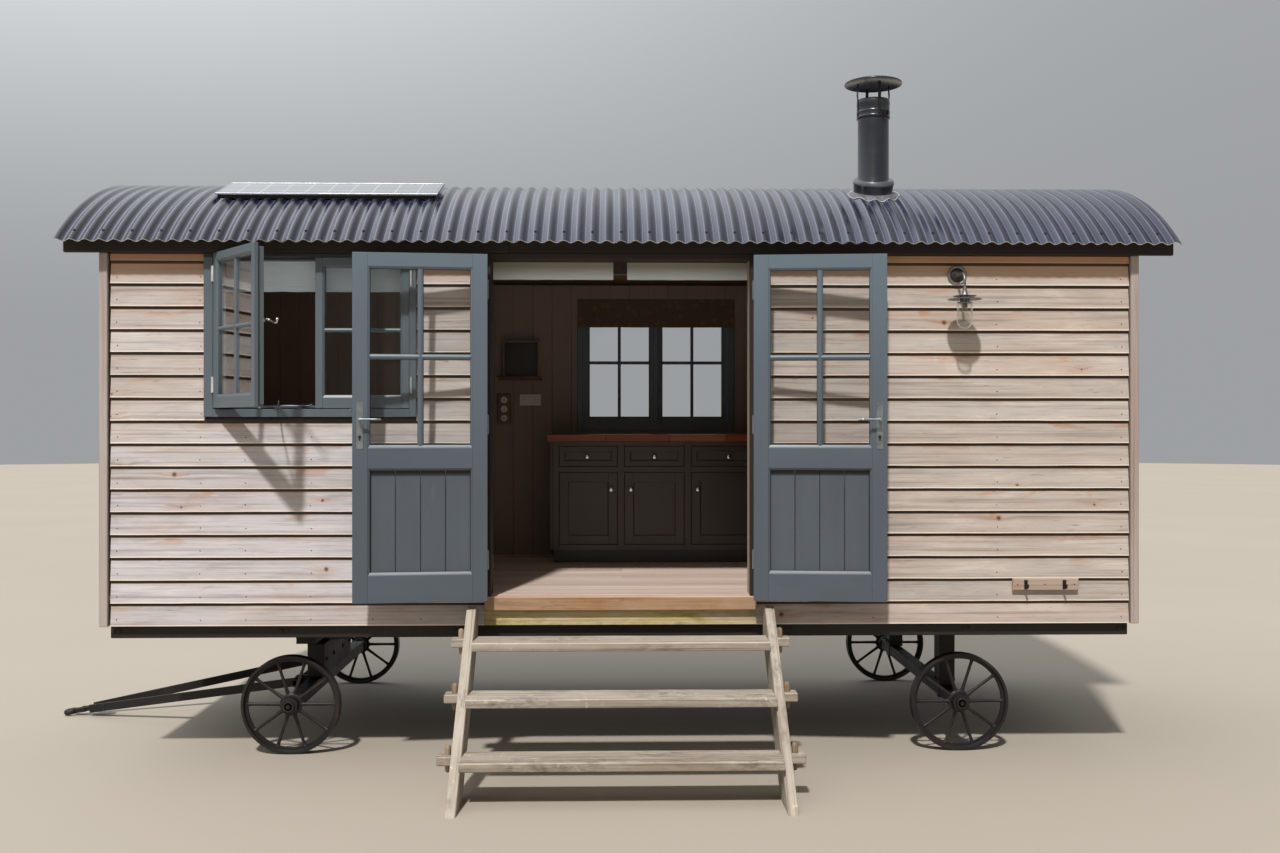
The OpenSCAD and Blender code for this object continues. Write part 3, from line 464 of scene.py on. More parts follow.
M["floor"] = wood("floor_boards", lin(212, 194, 184), lin(202, 180, 166), lin(206, 196, 190), lin(200, 164, 134),
                  lin(120, 90, 70), knots=0.5, grain=0.35, spread=0.2, rough=0.55, bump=0.25)
M["worktop"] = wood("worktop_timber", lin(150, 84, 50), lin(134, 70, 40), lin(150, 96, 62), lin(170, 96, 50),
                    lin(78, 40, 24), grain=0.45, accents=0.6, greys=0.2, spread=0.35, rough=0.38, bump=0.12)
M["fit_wood"] = wood("fitting_timber", lin(112, 76, 52), lin(98, 64, 42), lin(116, 88, 66), lin(130, 80, 46),
                     lin(52, 34, 24), grain=0.45, spread=0.2, rough=0.45, bump=0.15)
M["ceiling"] = paint("ceiling_paint", lin(168, 160, 146), rough=0.55, var=0.05, bump=0.2)
# door paint: painted light, lighter and bluer towards the top
M["door"] = paint("door_paint", lin(80, 90, 101), worn=lin(112, 120, 128), rough=0.4, var=0.06, wear=0.2, painted_top_light=(1.5, 2.7, lin(98, 113, 127)))
# panel paint: painted shadow, a near-black band just under the mid rail
M["door_panel"] = paint("door_panel_paint", lin(80, 89, 100), worn=lin(112, 120, 128), rough=0.4, var=0.06, wear=0.2, painted_shade_band=(1.543, 1.554, lin(14, 14, 14)))
M["window"] = paint("window_paint", lin(92, 104, 114), worn=lin(126, 134, 140), rough=0.4, var=0.07, wear=0.25)
# window frame paint: painted shade, a dark band along the head under the eave
M["window_frame"] = paint("window_frame_paint", lin(90, 102, 112), worn=lin(126, 134, 140), rough=0.4, var=0.07, wear=0.25,
                          painted_shade_band=(2.701, 2.708, lin(24, 22, 20)))
M["lining"] = paint("lining_paint", lin(132, 115, 105), rough=0.5, var=0.08, bump=0.2)
M["kitchen"] = paint("kitchen_paint", lin(66, 58, 56), worn=lin(92, 86, 84), rough=0.36, var=0.08, wear=0.12)
M["chassis"] = metal("chassis_paint", lin(25, 20, 18), rough=0.6, metallic=0.0, tint=lin(60, 38, 26), spots=0.28, scale=4)
M["iron"] = metal("cast_iron", lin(36, 35, 36), rough=0.5, metallic=0.35, tint=lin(86, 54, 36), spots=0.45, scale=7, bump=0.25)
M["flue"] = metal("flue_enamel", lin(40, 46, 56), rough=0.22, metallic=0.0, tint=lin(44, 46, 50), spots=0.3, scale=6, bump=0.05, spec=0.7)
M["lead_edge"] = metal("lead_edge", lin(214, 216, 220), rough=0.5, metallic=0.3, tint=lin(170, 172, 176), spots=0.4, scale=30, bump=0.2)
M["lead"] = metal("sheet_lead", lin(104, 107, 115), rough=0.55, metallic=0.3, tint=lin(160, 162, 168), spots=0.5, scale=12, bump=0.3)
M["steel"] = metal("satin_steel", lin(144, 154, 159), rough=0.34, metallic=0.75, spots=0.0, scale=20, bump=0.03)
M["bright"] = metal("polished_steel", lin(206, 206, 204), rough=0.22, metallic=1.0, spots=0.0, scale=20, bump=0.02)
M["zinc"] = metal("zinc_plate", lin(226, 226, 222), rough=0.38, metallic=0.55, tint=lin(176, 174, 168), spots=0.4, scale=24, bump=0.05)
M["chrome"] = metal("bright_knob", lin(224, 222, 218), rough=0.14, metallic=1.0, spots=0.0, scale=20, bump=0.01)
M["galv"] = metal("galvanised", lin(142, 142, 146), rough=0.42, metallic=0.85, tint=lin(104, 100, 96), spots=0.5, scale=22, bump=0.1)
M["brass"] = metal("aged_brass", lin(120, 98, 62), rough=0.45, metallic=0.9, tint=lin(62, 54, 44), spots=0.6, scale=30, bump=0.1)
M["rubber"] = metal("rubber_seal", lin(26, 26, 27), rough=0.7, metallic=0.0, spots=0.0, scale=10, bump=0.1)
M["nail"] = metal("nail_heads", lin(58, 50, 46), rough=0.6, metallic=0.6, tint=lin(90, 58, 40), spots=0.6, scale=60, bump=0.1)
M["glass"] = glass("pane")
M["jar"] = glass("jar_glass", tint=(0.97, 0.985, 0.98, 1), level=0.05, dust=0.02, rim=0.75)
M["white"] = metal("moulded_plate", lin(206, 204, 198), rough=0.35, metallic=0.0, tint=lin(184, 180, 172), spots=0.3, scale=8, bump=0.02)
M["cream"] = fabric("cream_cloth", lin(222, 236, 242), lin(206, 220, 224), head=(2.622, 2.676, lin(128, 112, 80)))
M["blue"] = fabric("pale_blue_cloth", lin(224, 241, 255), lin(210, 230, 248))
M["print"] = fabric("printed_cloth", lin(94, 77, 62), lin(84, 69, 56),
                    pattern=(lin(112, 88, 64), lin(98, 90, 64), lin(124, 96, 74)))


def roof_paint():
    g = Graph("roof_coating", rough=0.3, spec=0.62)
    wc = g.attr("wc").outputs["Vector"]
    big = g.noise(g.map(wc, (0.9, 1.6, 1)), 1, 4, 0.55)
    run = g.noise(g.map(wc, (34, 1.6, 1)), 1, 4, 0.6)
    fine = g.noise(g.map(wc, (90, 90, 1)), 1, 3, 0.6)
    c = g.mix(g.range(big, 0.35, 0.65), lin(31, 36, 56), lin(45, 51, 74))
    c = g.mix(g.math("MULTIPLY", g.range(run, 0.52, 0.74), 0.25), c, lin(104, 108, 122))
    c = g.mix(g.math("MULTIPLY", g.range(fine, 0.58, 0.7), 0.12), c, lin(40, 42, 56))
    sep = g.nt.nodes.new("ShaderNodeSeparateXYZ")
    g.put(sep.inputs[0], g.obj())
    f = g.math("FRACT", g.math("DIVIDE", g.math("SUBTRACT", sep.outputs[0], OX - 2.9869 - 0.0050 - 7.62), 0.0762))

    def band(at, outer, inner):
        return g.range(g.math("ABSOLUTE", g.math("SUBTRACT", f, at)), outer, inner)
    # painted shade on one flank of each corrugation, darkest near its middle, and painted highlight lines beside the
    # crest and the valley
    c = g.mix(g.math("MULTIPLY", band(0.25, 0.25, 0.17), 0.5), c, lin(20, 23, 36))
    c = g.mix(g.math("MULTIPLY", band(0.29, 0.11, 0.05), g.range(run, 0.35, 0.6, 0.6, 0.9)), c, lin(14, 16, 28))
    edge = g.math("MAXIMUM", band(0.57, 0.05, 0.02), band(0.94, 0.05, 0.02))
    c = g.mix(g.math("MULTIPLY", edge, g.range(run, 0.3, 0.6, 0.3, 0.5)), c, lin(126, 130, 148))
    g.color(c)
    g.rough(g.range(run, 0.3, 0.75, 0.18, 0.30))
    g.bump(fine, 0.05, 0.0006)
    return g.mat


def cell_glass():
    """Dark cells under a flat sheet of glass, with fine pale lines."""
    g = Graph("panel_cells", rough=0.08, spec=0.8)
    g.b.inputs["Coat Weight"].default_value = 0.5
    g.b.inputs["Coat Roughness"].default_value = 0.04
    wc = g.attr("wc").outputs["Vector"]
    sep = g.nt.nodes.new("ShaderNodeSeparateXYZ")
    g.put(sep.inputs[0], wc)

    def line(sock, pitch, width):
        f = g.math("FRACT", g.math("DIVIDE", sock, pitch))
        d = g.math("ABSOLUTE", g.math("SUBTRACT", f, 0.5))
        return g.range(d, 0.5 - width / pitch, 0.5 - width / pitch * 0.6)
    big = g.math("MAXIMUM", line(sep.outputs[0], 0.125, 0.0035), line(sep.outputs[1], 0.1467, 0.0035))
    thin = line(sep.outputs[1], 0.0073, 0.0009)
    flake = g.voro(g.map(wc, (60, 60, 1)), 1.0, out="Color")
    base = g.mix(0.25, lin(26, 30, 48), flake, "MULTIPLY")
    base = g.mix(g.math("MULTIPLY", thin, 0.18), base, lin(120, 124, 134))
    c = g.mix(g.math("MULTIPLY", big, 0.75), base, lin(176, 180, 188))
    g.color(c)
    return g.mat


M["roof"] = roof_paint()
M["jar_bulb"] = glass("bulb_glass", tint=(0.96, 0.95, 0.90, 1), level=0.04, dust=0.04)
M["soot"] = metal("sooted_steel", lin(18, 17, 17), rough=0.7, metallic=0.1, spots=0.0, scale=8, bump=0.1)
M["collar_ring"] = metal("collar_ring", lin(104, 108, 114), rough=0.36, metallic=0.4, tint=lin(60, 62, 66), spots=0.5, scale=10, bump=0.05)
M["galv_light"] = metal("panel_alloy", lin(152, 156, 168), rough=0.38, metallic=0.7, spots=0.0, scale=14, bump=0.04)
M["cells"] = cell_glass()


# ------------------------------------------------------------- mesh making
def _box_faces():
    def at(i, j, k, a):
        return ((i * 2 + j) * 2 + k) * 3 + a
    F = []
    for s in (0, 1):
        F.append([at(s, 0, 0, 0), at(s, 1, 0, 0), at(s, 1, 1, 0), at(s, 0, 1, 0)])
        F.append([at(0, s, 0, 1), at(1, s, 0, 1), at(1, s, 1, 1), at(0, s, 1, 1)])
        F.append([at(0, 0, s, 2), at(1, 0, s, 2), at(1, 1, s, 2), at(0, 1, s, 2)])
    for i in (0, 1):
        for j in (0, 1):
            F.append([at(i, j, 0, 0), at(i, j, 1, 0), at(i, j, 1, 1), at(i, j, 0, 1)])
            F.append([at(i, 0, j, 0), at(i, 1, j, 0), at(i, 1, j, 2), at(i, 0, j, 2)])
            F.append([at(0, i, j, 1), at(1, i, j, 1), at(1, i, j, 2), at(0, i, j, 2)])
            for k in (0, 1):
                F.append([at(i, j, k, 0), at(i, j, k, 1), at(i, j, k, 2)])
    V = _box_points(np.zeros(3), np.ones(3), 0.2)
    out = []
    for f in F:
        p = V[f]
        n = np.zeros(3)
        for q in range(len(p)):
            n += np.cross(p[q], p[(q + 1) % len(p)])
        out.append(f if n @ (p.mean(0) - 0.5) > 0 else f[::-1])
    return out


def _box_points(a, b, c):
    V = np.zeros((24, 3))
    n = 0
    for i in (0, 1):
        for j in (0, 1):
            for k in (0, 1):
                corner = np.array([b[0] if i else a[0], b[1] if j else a[1], b[2] if k else a[2]], float)
                inward = np.array([-1 if i else 1, -1 if j else 1, -1 if k else 1], float)
                for axis in range(3):
                    p = corner + inward * c
                    p[axis] = corner[axis]
                    V[n] = p
                    n += 1
    return V


BOX_FACES = _box_faces()
PERM = {"x": (0, 1, 2), "y": (1, 2, 0), "z": (2, 0, 1)}


def place(x=0, y=0, z=0, rx=0, ry=0, rz=0, mirror=None):
    """4x4 matrix: mirror, then turns in degrees about x, y, z, then a shift."""
    m = np.eye(4)
    if mirror is not None:
        m[mirror, mirror] = -1
    for axis, ang in ((0, rx), (1, ry), (2, rz)):
        c, s = math.cos(rad(ang)), math.sin(rad(ang))
        r = np.eye(4)
        i, j = (axis + 1) % 3, (axis + 2) % 3
        r[i, i], r[i, j], r[j, i], r[j, j] = c, -s, s, c
        m = r @ m
    t = np.eye(4)
    t[:3, 3] = (x, y, z)
    return t @ m


class Piece:
    def __init__(self, *mats):
        self.V, self.F, self.mi, self.wc, self.bid, self.ac = [], [], [], [], [], []
        self.n = 0
        self.mats = list(mats)
        self.M = np.eye(4)

    def add(self, V, F, mat=0, grain="x", M=None, wc=None, bid=None, ac=None):
        V = np.asarray(V, float)
        if wc is None:
            off = np.array([rnd.uniform(-40, 40) for _ in range(3)])
            wc = V[:, PERM[grain]] + off
        if bid is None:
            bid = rnd.random()
        T = self.M if M is None else self.M @ M
        W = V @ T[:3, :3].T + T[:3, 3]
        flip = np.linalg.det(T[:3, :3]) < 0
        n = self.n
        for f in F:
            f = [int(i) + n for i in f]
            self.F.append(f[::-1] if flip else f)
        self.mi += [mat] * len(F) if not hasattr(mat, "__len__") else list(mat)
        self.V.append(W)
        self.wc.append(wc)
        self.bid.append(np.full(len(V), bid))
        self.ac.append(np.full(len(V), 0.5) if ac is None else np.asarray(ac, float))
        self.n += len(V)
        return self

    # ---- solids
    def box(self, a, b, c=0.0015, **k):
        a, b = np.asarray(a, float), np.asarray(b, float)
        c = min(c, 0.45 * float((b - a).min()))
        return self.add(_box_points(a, b, c), BOX_FACES, **k)

    def prism(self, poly, h0, h1, axis="x", **k):
        """poly is in the other two axes' order: x -> (y, z), y -> (x, z), z -> (x, y)."""
        P = np.asarray(poly, float)
        area = 0.5 * sum(P[i][0] * P[(i + 1) % len(P)][1] - P[(i + 1) % len(P)][0] * P[i][1] for i in range(len(P)))
        if (area < 0) != (axis == "y"):
            P = P[::-1]
        n = len(P)
        V = np.zeros((2 * n, 3))
        ax = "xyz".index(axis)
        o = [i for i in range(3) if i != ax]
        for s, h in enumerate((h0, h1)):
            V[s * n:(s + 1) * n, o[0]] = P[:, 0]
            V[s * n:(s + 1) * n, o[1]] = P[:, 1]
            V[s * n:(s + 1) * n, ax] = h
        F = [list(range(n))[::-1], list(range(n, 2 * n))]
        F += [[i, (i + 1) % n, n + (i + 1) % n, n + i] for i in range(n)]
        k.setdefault("grain", axis)
        return self.add(V, F, **k)

    def lathe(self, prof, seg=32, M=None, closed=False, **k):
        """Turns (radius, z) points round z, from the bottom up on the outside."""
        prof = [(max(float(r), 0.0), float(z)) for r, z in prof]
        V, F, rings = [], [], []
        for r, z in prof:
            if r < 1e-6:
                rings.append([len(V)])
                V.append((0, 0, z))
            else:
                rings.append(list(range(len(V), len(V) + seg)))
                V += [(r * math.cos(2 * math.pi * i / seg), r * math.sin(2 * math.pi * i / seg), z) for i in range(seg)]
        pairs = list(zip(rings, rings[1:])) + ([(rings[-1], rings[0])] if closed else [])
        for a, b in pairs:
            for i in range(seg):
                j = (i + 1) % seg
                if len(a) == 1 and len(b) == 1:
                    break
                if len(a) == 1:
                    F.append([a[0], b[j], b[i]])
                elif len(b) == 1:
                    F.append([a[i], a[j], b[0]])
                else:
                    F.append([a[i], a[j], b[j], b[i]])
        if not closed:
            if len(rings[0]) > 1:
                F.append(rings[0][::-1])
            if len(rings[-1]) > 1:
                F.append(rings[-1])
        return self.add(V, F, M=M, **k)

    def tube(self, pts, r, seg=12, flat=1.0, up=(0, 0, 1), **k):
        """A round or oval bar along points; r is one radius or one for each."""
        P = np.asarray(pts, float)
        n = len(P)
        R = np.full(n, r, float) if not hasattr(r, "__len__") else np.asarray(r, float)
        T = np.gradient(P, axis=0)
        T /= np.linalg.norm(T, axis=1)[:, None]
        u = np.asarray(up, float)
        V, F = [], []
        side = np.cross(T[0], u)
        if np.linalg.norm(side) < 1e-3:
            side = np.cross(T[0], (1, 0, 0))
        side /= np.linalg.norm(side)
        for i in range(n):
            side = side - (side @ T[i]) * T[i]
            side /= np.linalg.norm(side)
            upv = np.cross(side, T[i])
            for s in range(seg):
                a = 2 * math.pi * s / seg
                V.append(P[i] + R[i] * (math.cos(a) * side + flat * math.sin(a) * upv))
        for i in range(n - 1):
            for s in range(seg):
                t = (s + 1) % seg
                F.append([i * seg + s, (i + 1) * seg + s, (i + 1) * seg + t, i * seg + t])
        F.append(list(range(seg)))
        F.append(list(range((n - 1) * seg, n * seg))[::-1])
        V = np.array(V)
        wc = k.pop("wc", None)
        if wc is None:
            d = np.concatenate([[0], np.cumsum(np.linalg.norm(np.diff(P, axis=0), axis=1))])
            wc = np.zeros((n * seg, 3))
            wc[:, 0] = np.repeat(d, seg) + rnd.uniform(-40, 40)
            ang = np.tile(np.arange(seg), n) * 2 * math.pi / seg
            wc[:, 1] = np.repeat(R, seg) * np.cos(ang)
            wc[:, 2] = np.repeat(R, seg) * np.sin(ang)
        F = [f[::-1] for f in F]
        return self.add(V, F, wc=wc, **k)

    def ring(self, x0, x1, z0, z1, prof, foot=1.0, **k):
        """Mitred frame round a rectangle in the x-z plane. prof is a closed loop of (offset outwards, y);
        offsets are stretched by foot below the rectangle."""
        P = [(float(a), float(b)) for a, b in prof]
        n = len(P)
        area = sum(P[i][0] * P[(i + 1) % n][1] - P[(i + 1) % n][0] * P[i][1] for i in range(n)) / 2
        if area < 0:
            P = P[::-1]
        sides = [((x0, z0), (x1, z0), (-1, -foot), (1, -foot), 0), ((x1, z0), (x1, z1), (1, -foot), (1, 1), 2),
                 ((x1, z1), (x0, z1), (1, 1), (-1, 1), 0), ((x0, z1), (x0, z0), (-1, 1), (-1, -foot), 2)]
        for (ax, az), (bx, bz), da, db, g in sides:
            V = [(ax + da[0] * o, y, az + da[1] * o) for o, y in P] + [(bx + db[0] * o, y, bz + db[1] * o) for o, y in P]
            F = [[i, n + i, n + (i + 1) % n, (i + 1) % n] for i in range(n)]
            F += [list(range(n)), list(range(n, 2 * n))[::-1]]
            self.add(np.array(V), [f[::-1] for f in F], grain="xz"[g // 2], **k)
        return self

    def cyl(self, p, q, r, r2=None, seg=24, c=0.0008, **k):
        """Cylinder or cone between two points, with fine chamfers."""
        p, q = np.asarray(p, float), np.asarray(q, float)
        h = float(np.linalg.norm(q - p))
        r2 = r if r2 is None else r2
        c = min(c, r * 0.4, r2 * 0.4, h * 0.4)
        z = (q - p) / h
        x = np.cross(z, (0, 0, 1) if abs(z[2]) < 0.9 else (1, 0, 0))
        x /= np.linalg.norm(x)
        m = np.eye(4)
        m[:3, 0], m[:3, 1], m[:3, 2], m[:3, 3] = x, np.cross(z, x), z, p
        prof = [(r - c, 0), (r, c), (r2, h - c), (r2 - c, h)] if c > 0 else [(r, 0), (r2, h)]
        return self.lathe(prof, seg, M=m if k.get("M") is None else k.pop("M") @ m, **{a: b for a, b in k.items() if a != "M"})

    def ball(self, p, r, seg=16, **k):
        prof = [(r * math.sin(math.pi * i / (seg // 2)), -r * math.cos(math.pi * i / (seg // 2))) for i in range(seg // 2 + 1)]
        return self.lathe(prof, seg, M=place(*p), **k)

    def screw(self, p, n, r=0.0035, **k):
        """A flat round head, standing 0.6 mm proud along n."""
        p, n = np.asarray(p, float), np.asarray(n, float)
        self.cyl(p - n * 0.001, p + n * 0.0006, r, seg=14, c=0.0003, **k)
        return self

    def hexbolt(self, p, n, r=0.009, h=0.006, **k):
        p, n = np.asarray(p, float), np.asarray(n, float)
        self.cyl(p, p + n * 0.002, r * 1.35, seg=20, c=0.0004, **k)
        self.cyl(p + n * 0.002, p + n * (h + 0.002), r, seg=6, c=0.001, **k)
        return self

    # ---- object
    def make(self, name, body, replaces=(), smooth=35.0):
        me = bpy.data.meshes.new(name)
        V = np.concatenate(self.V) + SHIFT
        me.from_pydata(V.tolist(), [], self.F)
        for m in self.mats:
            me.materials.append(m)
        me.polygons.foreach_set("material_index", self.mi)
        me.polygons.foreach_set("use_smooth", [True] * len(self.F))
        for key, kind, data in (("wc", "FLOAT_VECTOR", np.concatenate(self.wc).ravel()),
                                ("bid", "FLOAT", np.concatenate(self.bid)), ("ac", "FLOAT", np.concatenate(self.ac))):
            at = me.attributes.new(key, kind, "POINT")
            at.data.foreach_set("vector" if kind == "FLOAT_VECTOR" else "value", data.astype(np.float32))
        me.update()
        me.set_sharp_from_angle(angle=rad(smooth))
        ob = bpy.data.objects.new(name, me)
        bpy.context.scene.collection.objects.link(ob)
        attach(ob, body)
        if replaces:
            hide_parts(*replaces)
        return ob


def wob(seed, amp, length, n=None):
    """Smooth one-dimensional noise as a function of position."""
    r = random.Random(seed)
    terms = [(r.uniform(0.4, 2.6) / length, r.uniform(0, 6.28), r.uniform(0.4, 1.0)) for _ in range(4)]
    s = sum(t[2] for t in terms)
    return lambda x: amp * sum(w * math.sin(6.28 * f * x + p) for f, p, w in terms) / s


# ------------------------------------------------------------------ walls
SHEET_R, DECK_R, ROOF_R, ZC, YC = 1.831, 1.771, 1.851, 1.424, 1.125
EXPO, BASE = 0.1225, 0.729
DX0, DX1 = -0.749, 0.716              # door frame, outside
WX0, WX1, WZ0, WZ1 = -2.248, -1.116, 1.852, 2.728
BX0, BX1, BZ0, BZ1 = -0.310, 0.810, 1.765, 2.708


def arch(y, r=SHEET_R - 0.0008):
    return ZC + math.sqrt(max(r * r - (y - YC) ** 2, 0.0))


def cut(a, b, holes, least=0.012):
    out = [(a, b)]
    for h0, h1 in holes:
        nxt = []
        for x0, x1 in out:
            if h1 <= x0 or h0 >= x1:
                nxt.append((x0, x1))
                continue
            if h0 - x0 > least:
                nxt.append((x0, h0))
            if x1 - h1 > least:
                nxt.append((h1, x1))
        out = nxt
    return out


ACROSS = [1.0, 1.0, 1.0, 0.95, 0.9, 0.0, 0.0]


def clad(P, k, u0, u1, seed, top=9.0, cap=None, mat=0, nails=()):
    """A lapped board: u along the wall, then depth from its outer face, then height."""
    z0 = BASE + EXPO * k
    dz, dd = wob(seed, 0.0011 if k else 0.0, 0.8), wob(seed + 7, 0.0005, 0.6)
    n = max(2, int(round((u1 - u0) / 0.11)))
    us = [u0 + (u1 - u0) * i / n for i in range(n + 1)]
    off = np.array([rnd.uniform(-40, 40) for _ in range(3)])
    V, W, A = [], [], []
    for u in us:
        zb, e = z0 + dz(u), 0.0006 + dd(u)
        z1 = max(min(z0 + 0.134, top, cap(u) if cap else 9.0), zb + 0.004)
        g = e + (0.0152 - e) * (z1 - zb) / (z0 + 0.134 - zb)
        ring = [(e, zb + 0.0018), (e + 0.0018, zb), (0.0138, zb + 0.002), (0.0138, zb + 0.013),
                (0.0215, zb + 0.013), (0.0215, z1), (g, z1)]
        for (d, z), a in zip(ring, ACROSS):
            z = min(z, z1)
            V.append((u, d, z))
            W.append((u + off[0], z - z0 + off[1], d + off[2]))
            A.append(a)
    F = [list(range(7))[::-1], list(range(7 * n, 7 * n + 7))]
    for j in range(n):
        for i in range(7):
            F.append([7 * j + i, 7 * j + (i + 1) % 7, 7 * j + 7 + (i + 1) % 7, 7 * j + 7 + i])
    b = rnd.random()
    P.add(V, F, mat=mat, wc=np.array(W), bid=b, ac=A)
    for u in nails:
        if u0 + 0.012 < u < u1 - 0.012 and z0 + 0.045 < (cap(u) if cap else 9.0) and z0 + 0.045 < top:
            zz = z0 + 0.034 + rnd.uniform(-0.003, 0.003)
            m = place(u + rnd.uniform(-0.004, 0.004), 0.0006 + 0.0146 * 0.034 / 0.134 + 0.0004, zz, rx=90)
            P.lathe([(0.0038, 0), (0.0031, 0.0012)], 9, M=m, mat=1)


def wall_matrix(kind):
    m = np.eye(4)
    if kind == "back":
        m[1, 1], m[1, 3] = -1, 2.25
    if kind == "left":
        m[:3, :3] = [[0, 1, 0], [1, 0, 0], [0, 0, 1]]
        m[0, 3] = -2.8
    if kind == "right":
        m[:3, :3] = [[0, -1, 0], [1, 0, 0], [0, 0, 1]]
        m[0, 3] = 2.8
    return m


STUDS = [-2.713, -2.03, -1.35, -0.8, 0.765, 1.35, 2.03, 2.713]
P = Piece(M["clad"], M["nail"], M["sill_low"])
for k in range(17):
    holes = [(DX0, DX1)]
    if k >= 9:
        holes.append((WX0, WX1))
    for s, (a, b) in enumerate(cut(-2.7485, 2.754, holes)):
        clad(P, k, a + 0.0006, b - 0.0006, 100 + 3 * k + s, top=2.7335, nails=STUDS + [-2.27, -1.09, -1.68])
clad(P, 0, DX0 + 0.001, DX1 - 0.001, 99, top=0.8105, mat=2)
P.make("front_boards", "hut", ["wall_boards"])

P = Piece(M["clad"], M["nail"])
P.M = wall_matrix("back")
joints = [-0.69, 0.66, -1.36, 1.34, 0.02, -2.02]
for k in range(17):
    holes = [(BX0, BX1)] if 9 <= k <= 16 else []
    if k == 16:
        holes = []
    runs = []
    for a, b in cut(-2.754, 2.754, holes):
        j = joints[k % 6]
        if b - a > 4 and a + 0.4 < j < b - 0.4:
            runs += [(a, j - 0.0007), (j + 0.0007, b)]
        else:
            runs.append((a, b))
    for s, (a, b) in enumerate(runs):
        near = [a + 0.02, b - 0.02] if b - a < 4.9 else []
        clad(P, k, a + 0.0006, b - 0.0006, 300 + 3 * k + s, top=2.7335, nails=STUDS + [0.02, -0.35, 0.85] + near)
P.make("back_boards", "hut", ["wall_boards"])

for side in ("left", "right"):
    P = Piece(M["clad_end"], M["nail"])
    P.M = wall_matrix(side)
    for k in range(21):
        z0 = BASE + EXPO * k
        h = math.sqrt(max(SHEET_R ** 2 - (z0 + 0.01 - ZC) ** 2, 0))
        if h < 0.1:
            continue
        h = min(1.078, h)
        clad(P, k, YC - h, YC + h, 500 + 3 * k + (side == "left"), cap=arch, nails=[0.09, 0.6, 1.125, 1.65, 2.16])
    P.make(side + "_end_boards", "hut", ["wall_boards"])

P = Piece(M["corner"])
for sx in (-1, 1):
    for y in (-0.006, 2.211):
        x0, x1 = (2.761, 2.806) if sx > 0 else (-2.806, -2.761)
        P.box((x0, y, 0.727), (x1, y + 0.045, 2.7295), c=0.003, grain="z")
P.make("corner_post_timbers", "hut", ["corner_posts"])


def panelled(P, x0, x1, z0, z1, holes, y0, y1, mat, c=0.0):
    """A slab between y0 and y1 with rectangular holes, in upright strips."""
    xs = sorted({x0, x1} | {min(max(v, x0), x1) for h in holes for v in h[:2]})
    for a, b in zip(xs, xs[1:]):
        if b - a < 0.002:
            continue
        inside = [(h[2], h[3]) for h in holes if h[0] <= a + 1e-6 and h[1] >= b - 1e-6]
        for p, q in cut(z0, z1, inside, 0.004):
            P.box((a, y0, p), (b, y1, q), c=c, mat=mat, grain="z")


def lining_planks(P, x0, x1, z0, z1, holes, yf, yb, mat):
    """Upright tongued boards with their face at yf and their back at yb."""
    pitch, x = 0.137, x0
    s = 1 if yf > yb else -1
    while x < x1 - 0.004:
        e = min(x + pitch, x1)
        inside = [v for h in holes for v in h[:2] if x + 0.003 < v < e - 0.003]
        xs = [x] + sorted(set(inside)) + [e]
        for a, b in zip(xs, xs[1:]):
            hz = [(h[2], h[3]) for h in holes if h[0] <= a + 0.004 and h[1] >= b - 0.004]
            va, vb = (0.0028 if a == x else 0.0003), (0.0028 if b == e else 0.0003)
            poly = [(a + 0.0003, yb), (b - 0.0003, yb), (b - 0.0003, yf - s * vb), (b - vb, yf), (a + va, yf), (a + 0.0003, yf - s * va)]
            for p, q in cut(z0, z1, hz, 0.004):
                P.prism(poly, p, q, "z", mat=mat)
        x = e


P = Piece(M["dark"], M["lining"])
hole = [(WX0, WX1, WZ0, WZ1)]
panelled(P, -2.68, DX0, 0.890, 2.802, hole, 0.022, 0.108, 0)
lining_planks(P, -2.68, DX0, 0.890, 2.802, hole, 0.120, 0.108, 1)
P.make("front_wall_left_lining", "hut", ["front_wall_left"])
P = Piece(M["dark"], M["lining"])
panelled(P, DX1, 2.68, 0.890, 2.802, [], 0.022, 0.108, 0)
lining_planks(P, DX1, 2.68, 0.890, 2.802, [], 0.120, 0.108, 1)
P.make("front_wall_right_lining", "hut", ["front_wall_right"])
P = Piece(M["dark"], M["lining"])
panelled(P, DX0, DX1, 2.7305, 2.802, [], 0.022, 0.108, 0)
lining_planks(P, DX0, DX1, 2.7305, 2.802, [], 0.120, 0.108, 1)
P.make("front_wall_head_lining", "hut", ["front_wall_head"])
P = Piece(M["dark"], M["lining"])
hole = [(BX0, BX1, BZ0, BZ1)]
panelled(P, -2.68, 2.68, 0.890, 2.802, hole, 2.142, 2.228, 0)
lining_planks(P, -2.68, 2.68, 0.890, 2.802, hole, 2.130, 2.142, 1)
P.make("back_wall_lining", "hut", ["back_wall"])
for s in (-1, 1):
    P = Piece(M["dark"], M["lining"])
    ys = [0.022 + (2.228 - 0.022) * i / 40 for i in range(41)]
    poly = [(0.022, 0.890), (2.228, 0.890)] + [(y, arch(y, DECK_R - 0.0008)) for y in ys[::-1]]
    a, b = (2.692, 2.778) if s > 0 else (-2.778, -2.692)
    P.prism(poly, a, b, "x", mat=0, grain="z")
    y = 0.12
    while y < 2.129:
        e = min(y + 0.137, 2.13)
        q = [y + 0.001 + (e - y - 0.002) * i / 4 for i in range(5)]
        poly = [(q[0], 0.890), (q[-1], 0.890)] + [(v, arch(v, DECK_R - 0.0008)) for v in q[::-1]]
        a, b = (2.680, 2.6915) if s > 0 else (-2.6915, -2.680)
        P.prism(poly, a, b, "x", mat=1, grain="z")
        y = e
    name = "right_end_wall" if s > 0 else "left_end_wall"
    P.make(name + "_lining", "hut", [name])

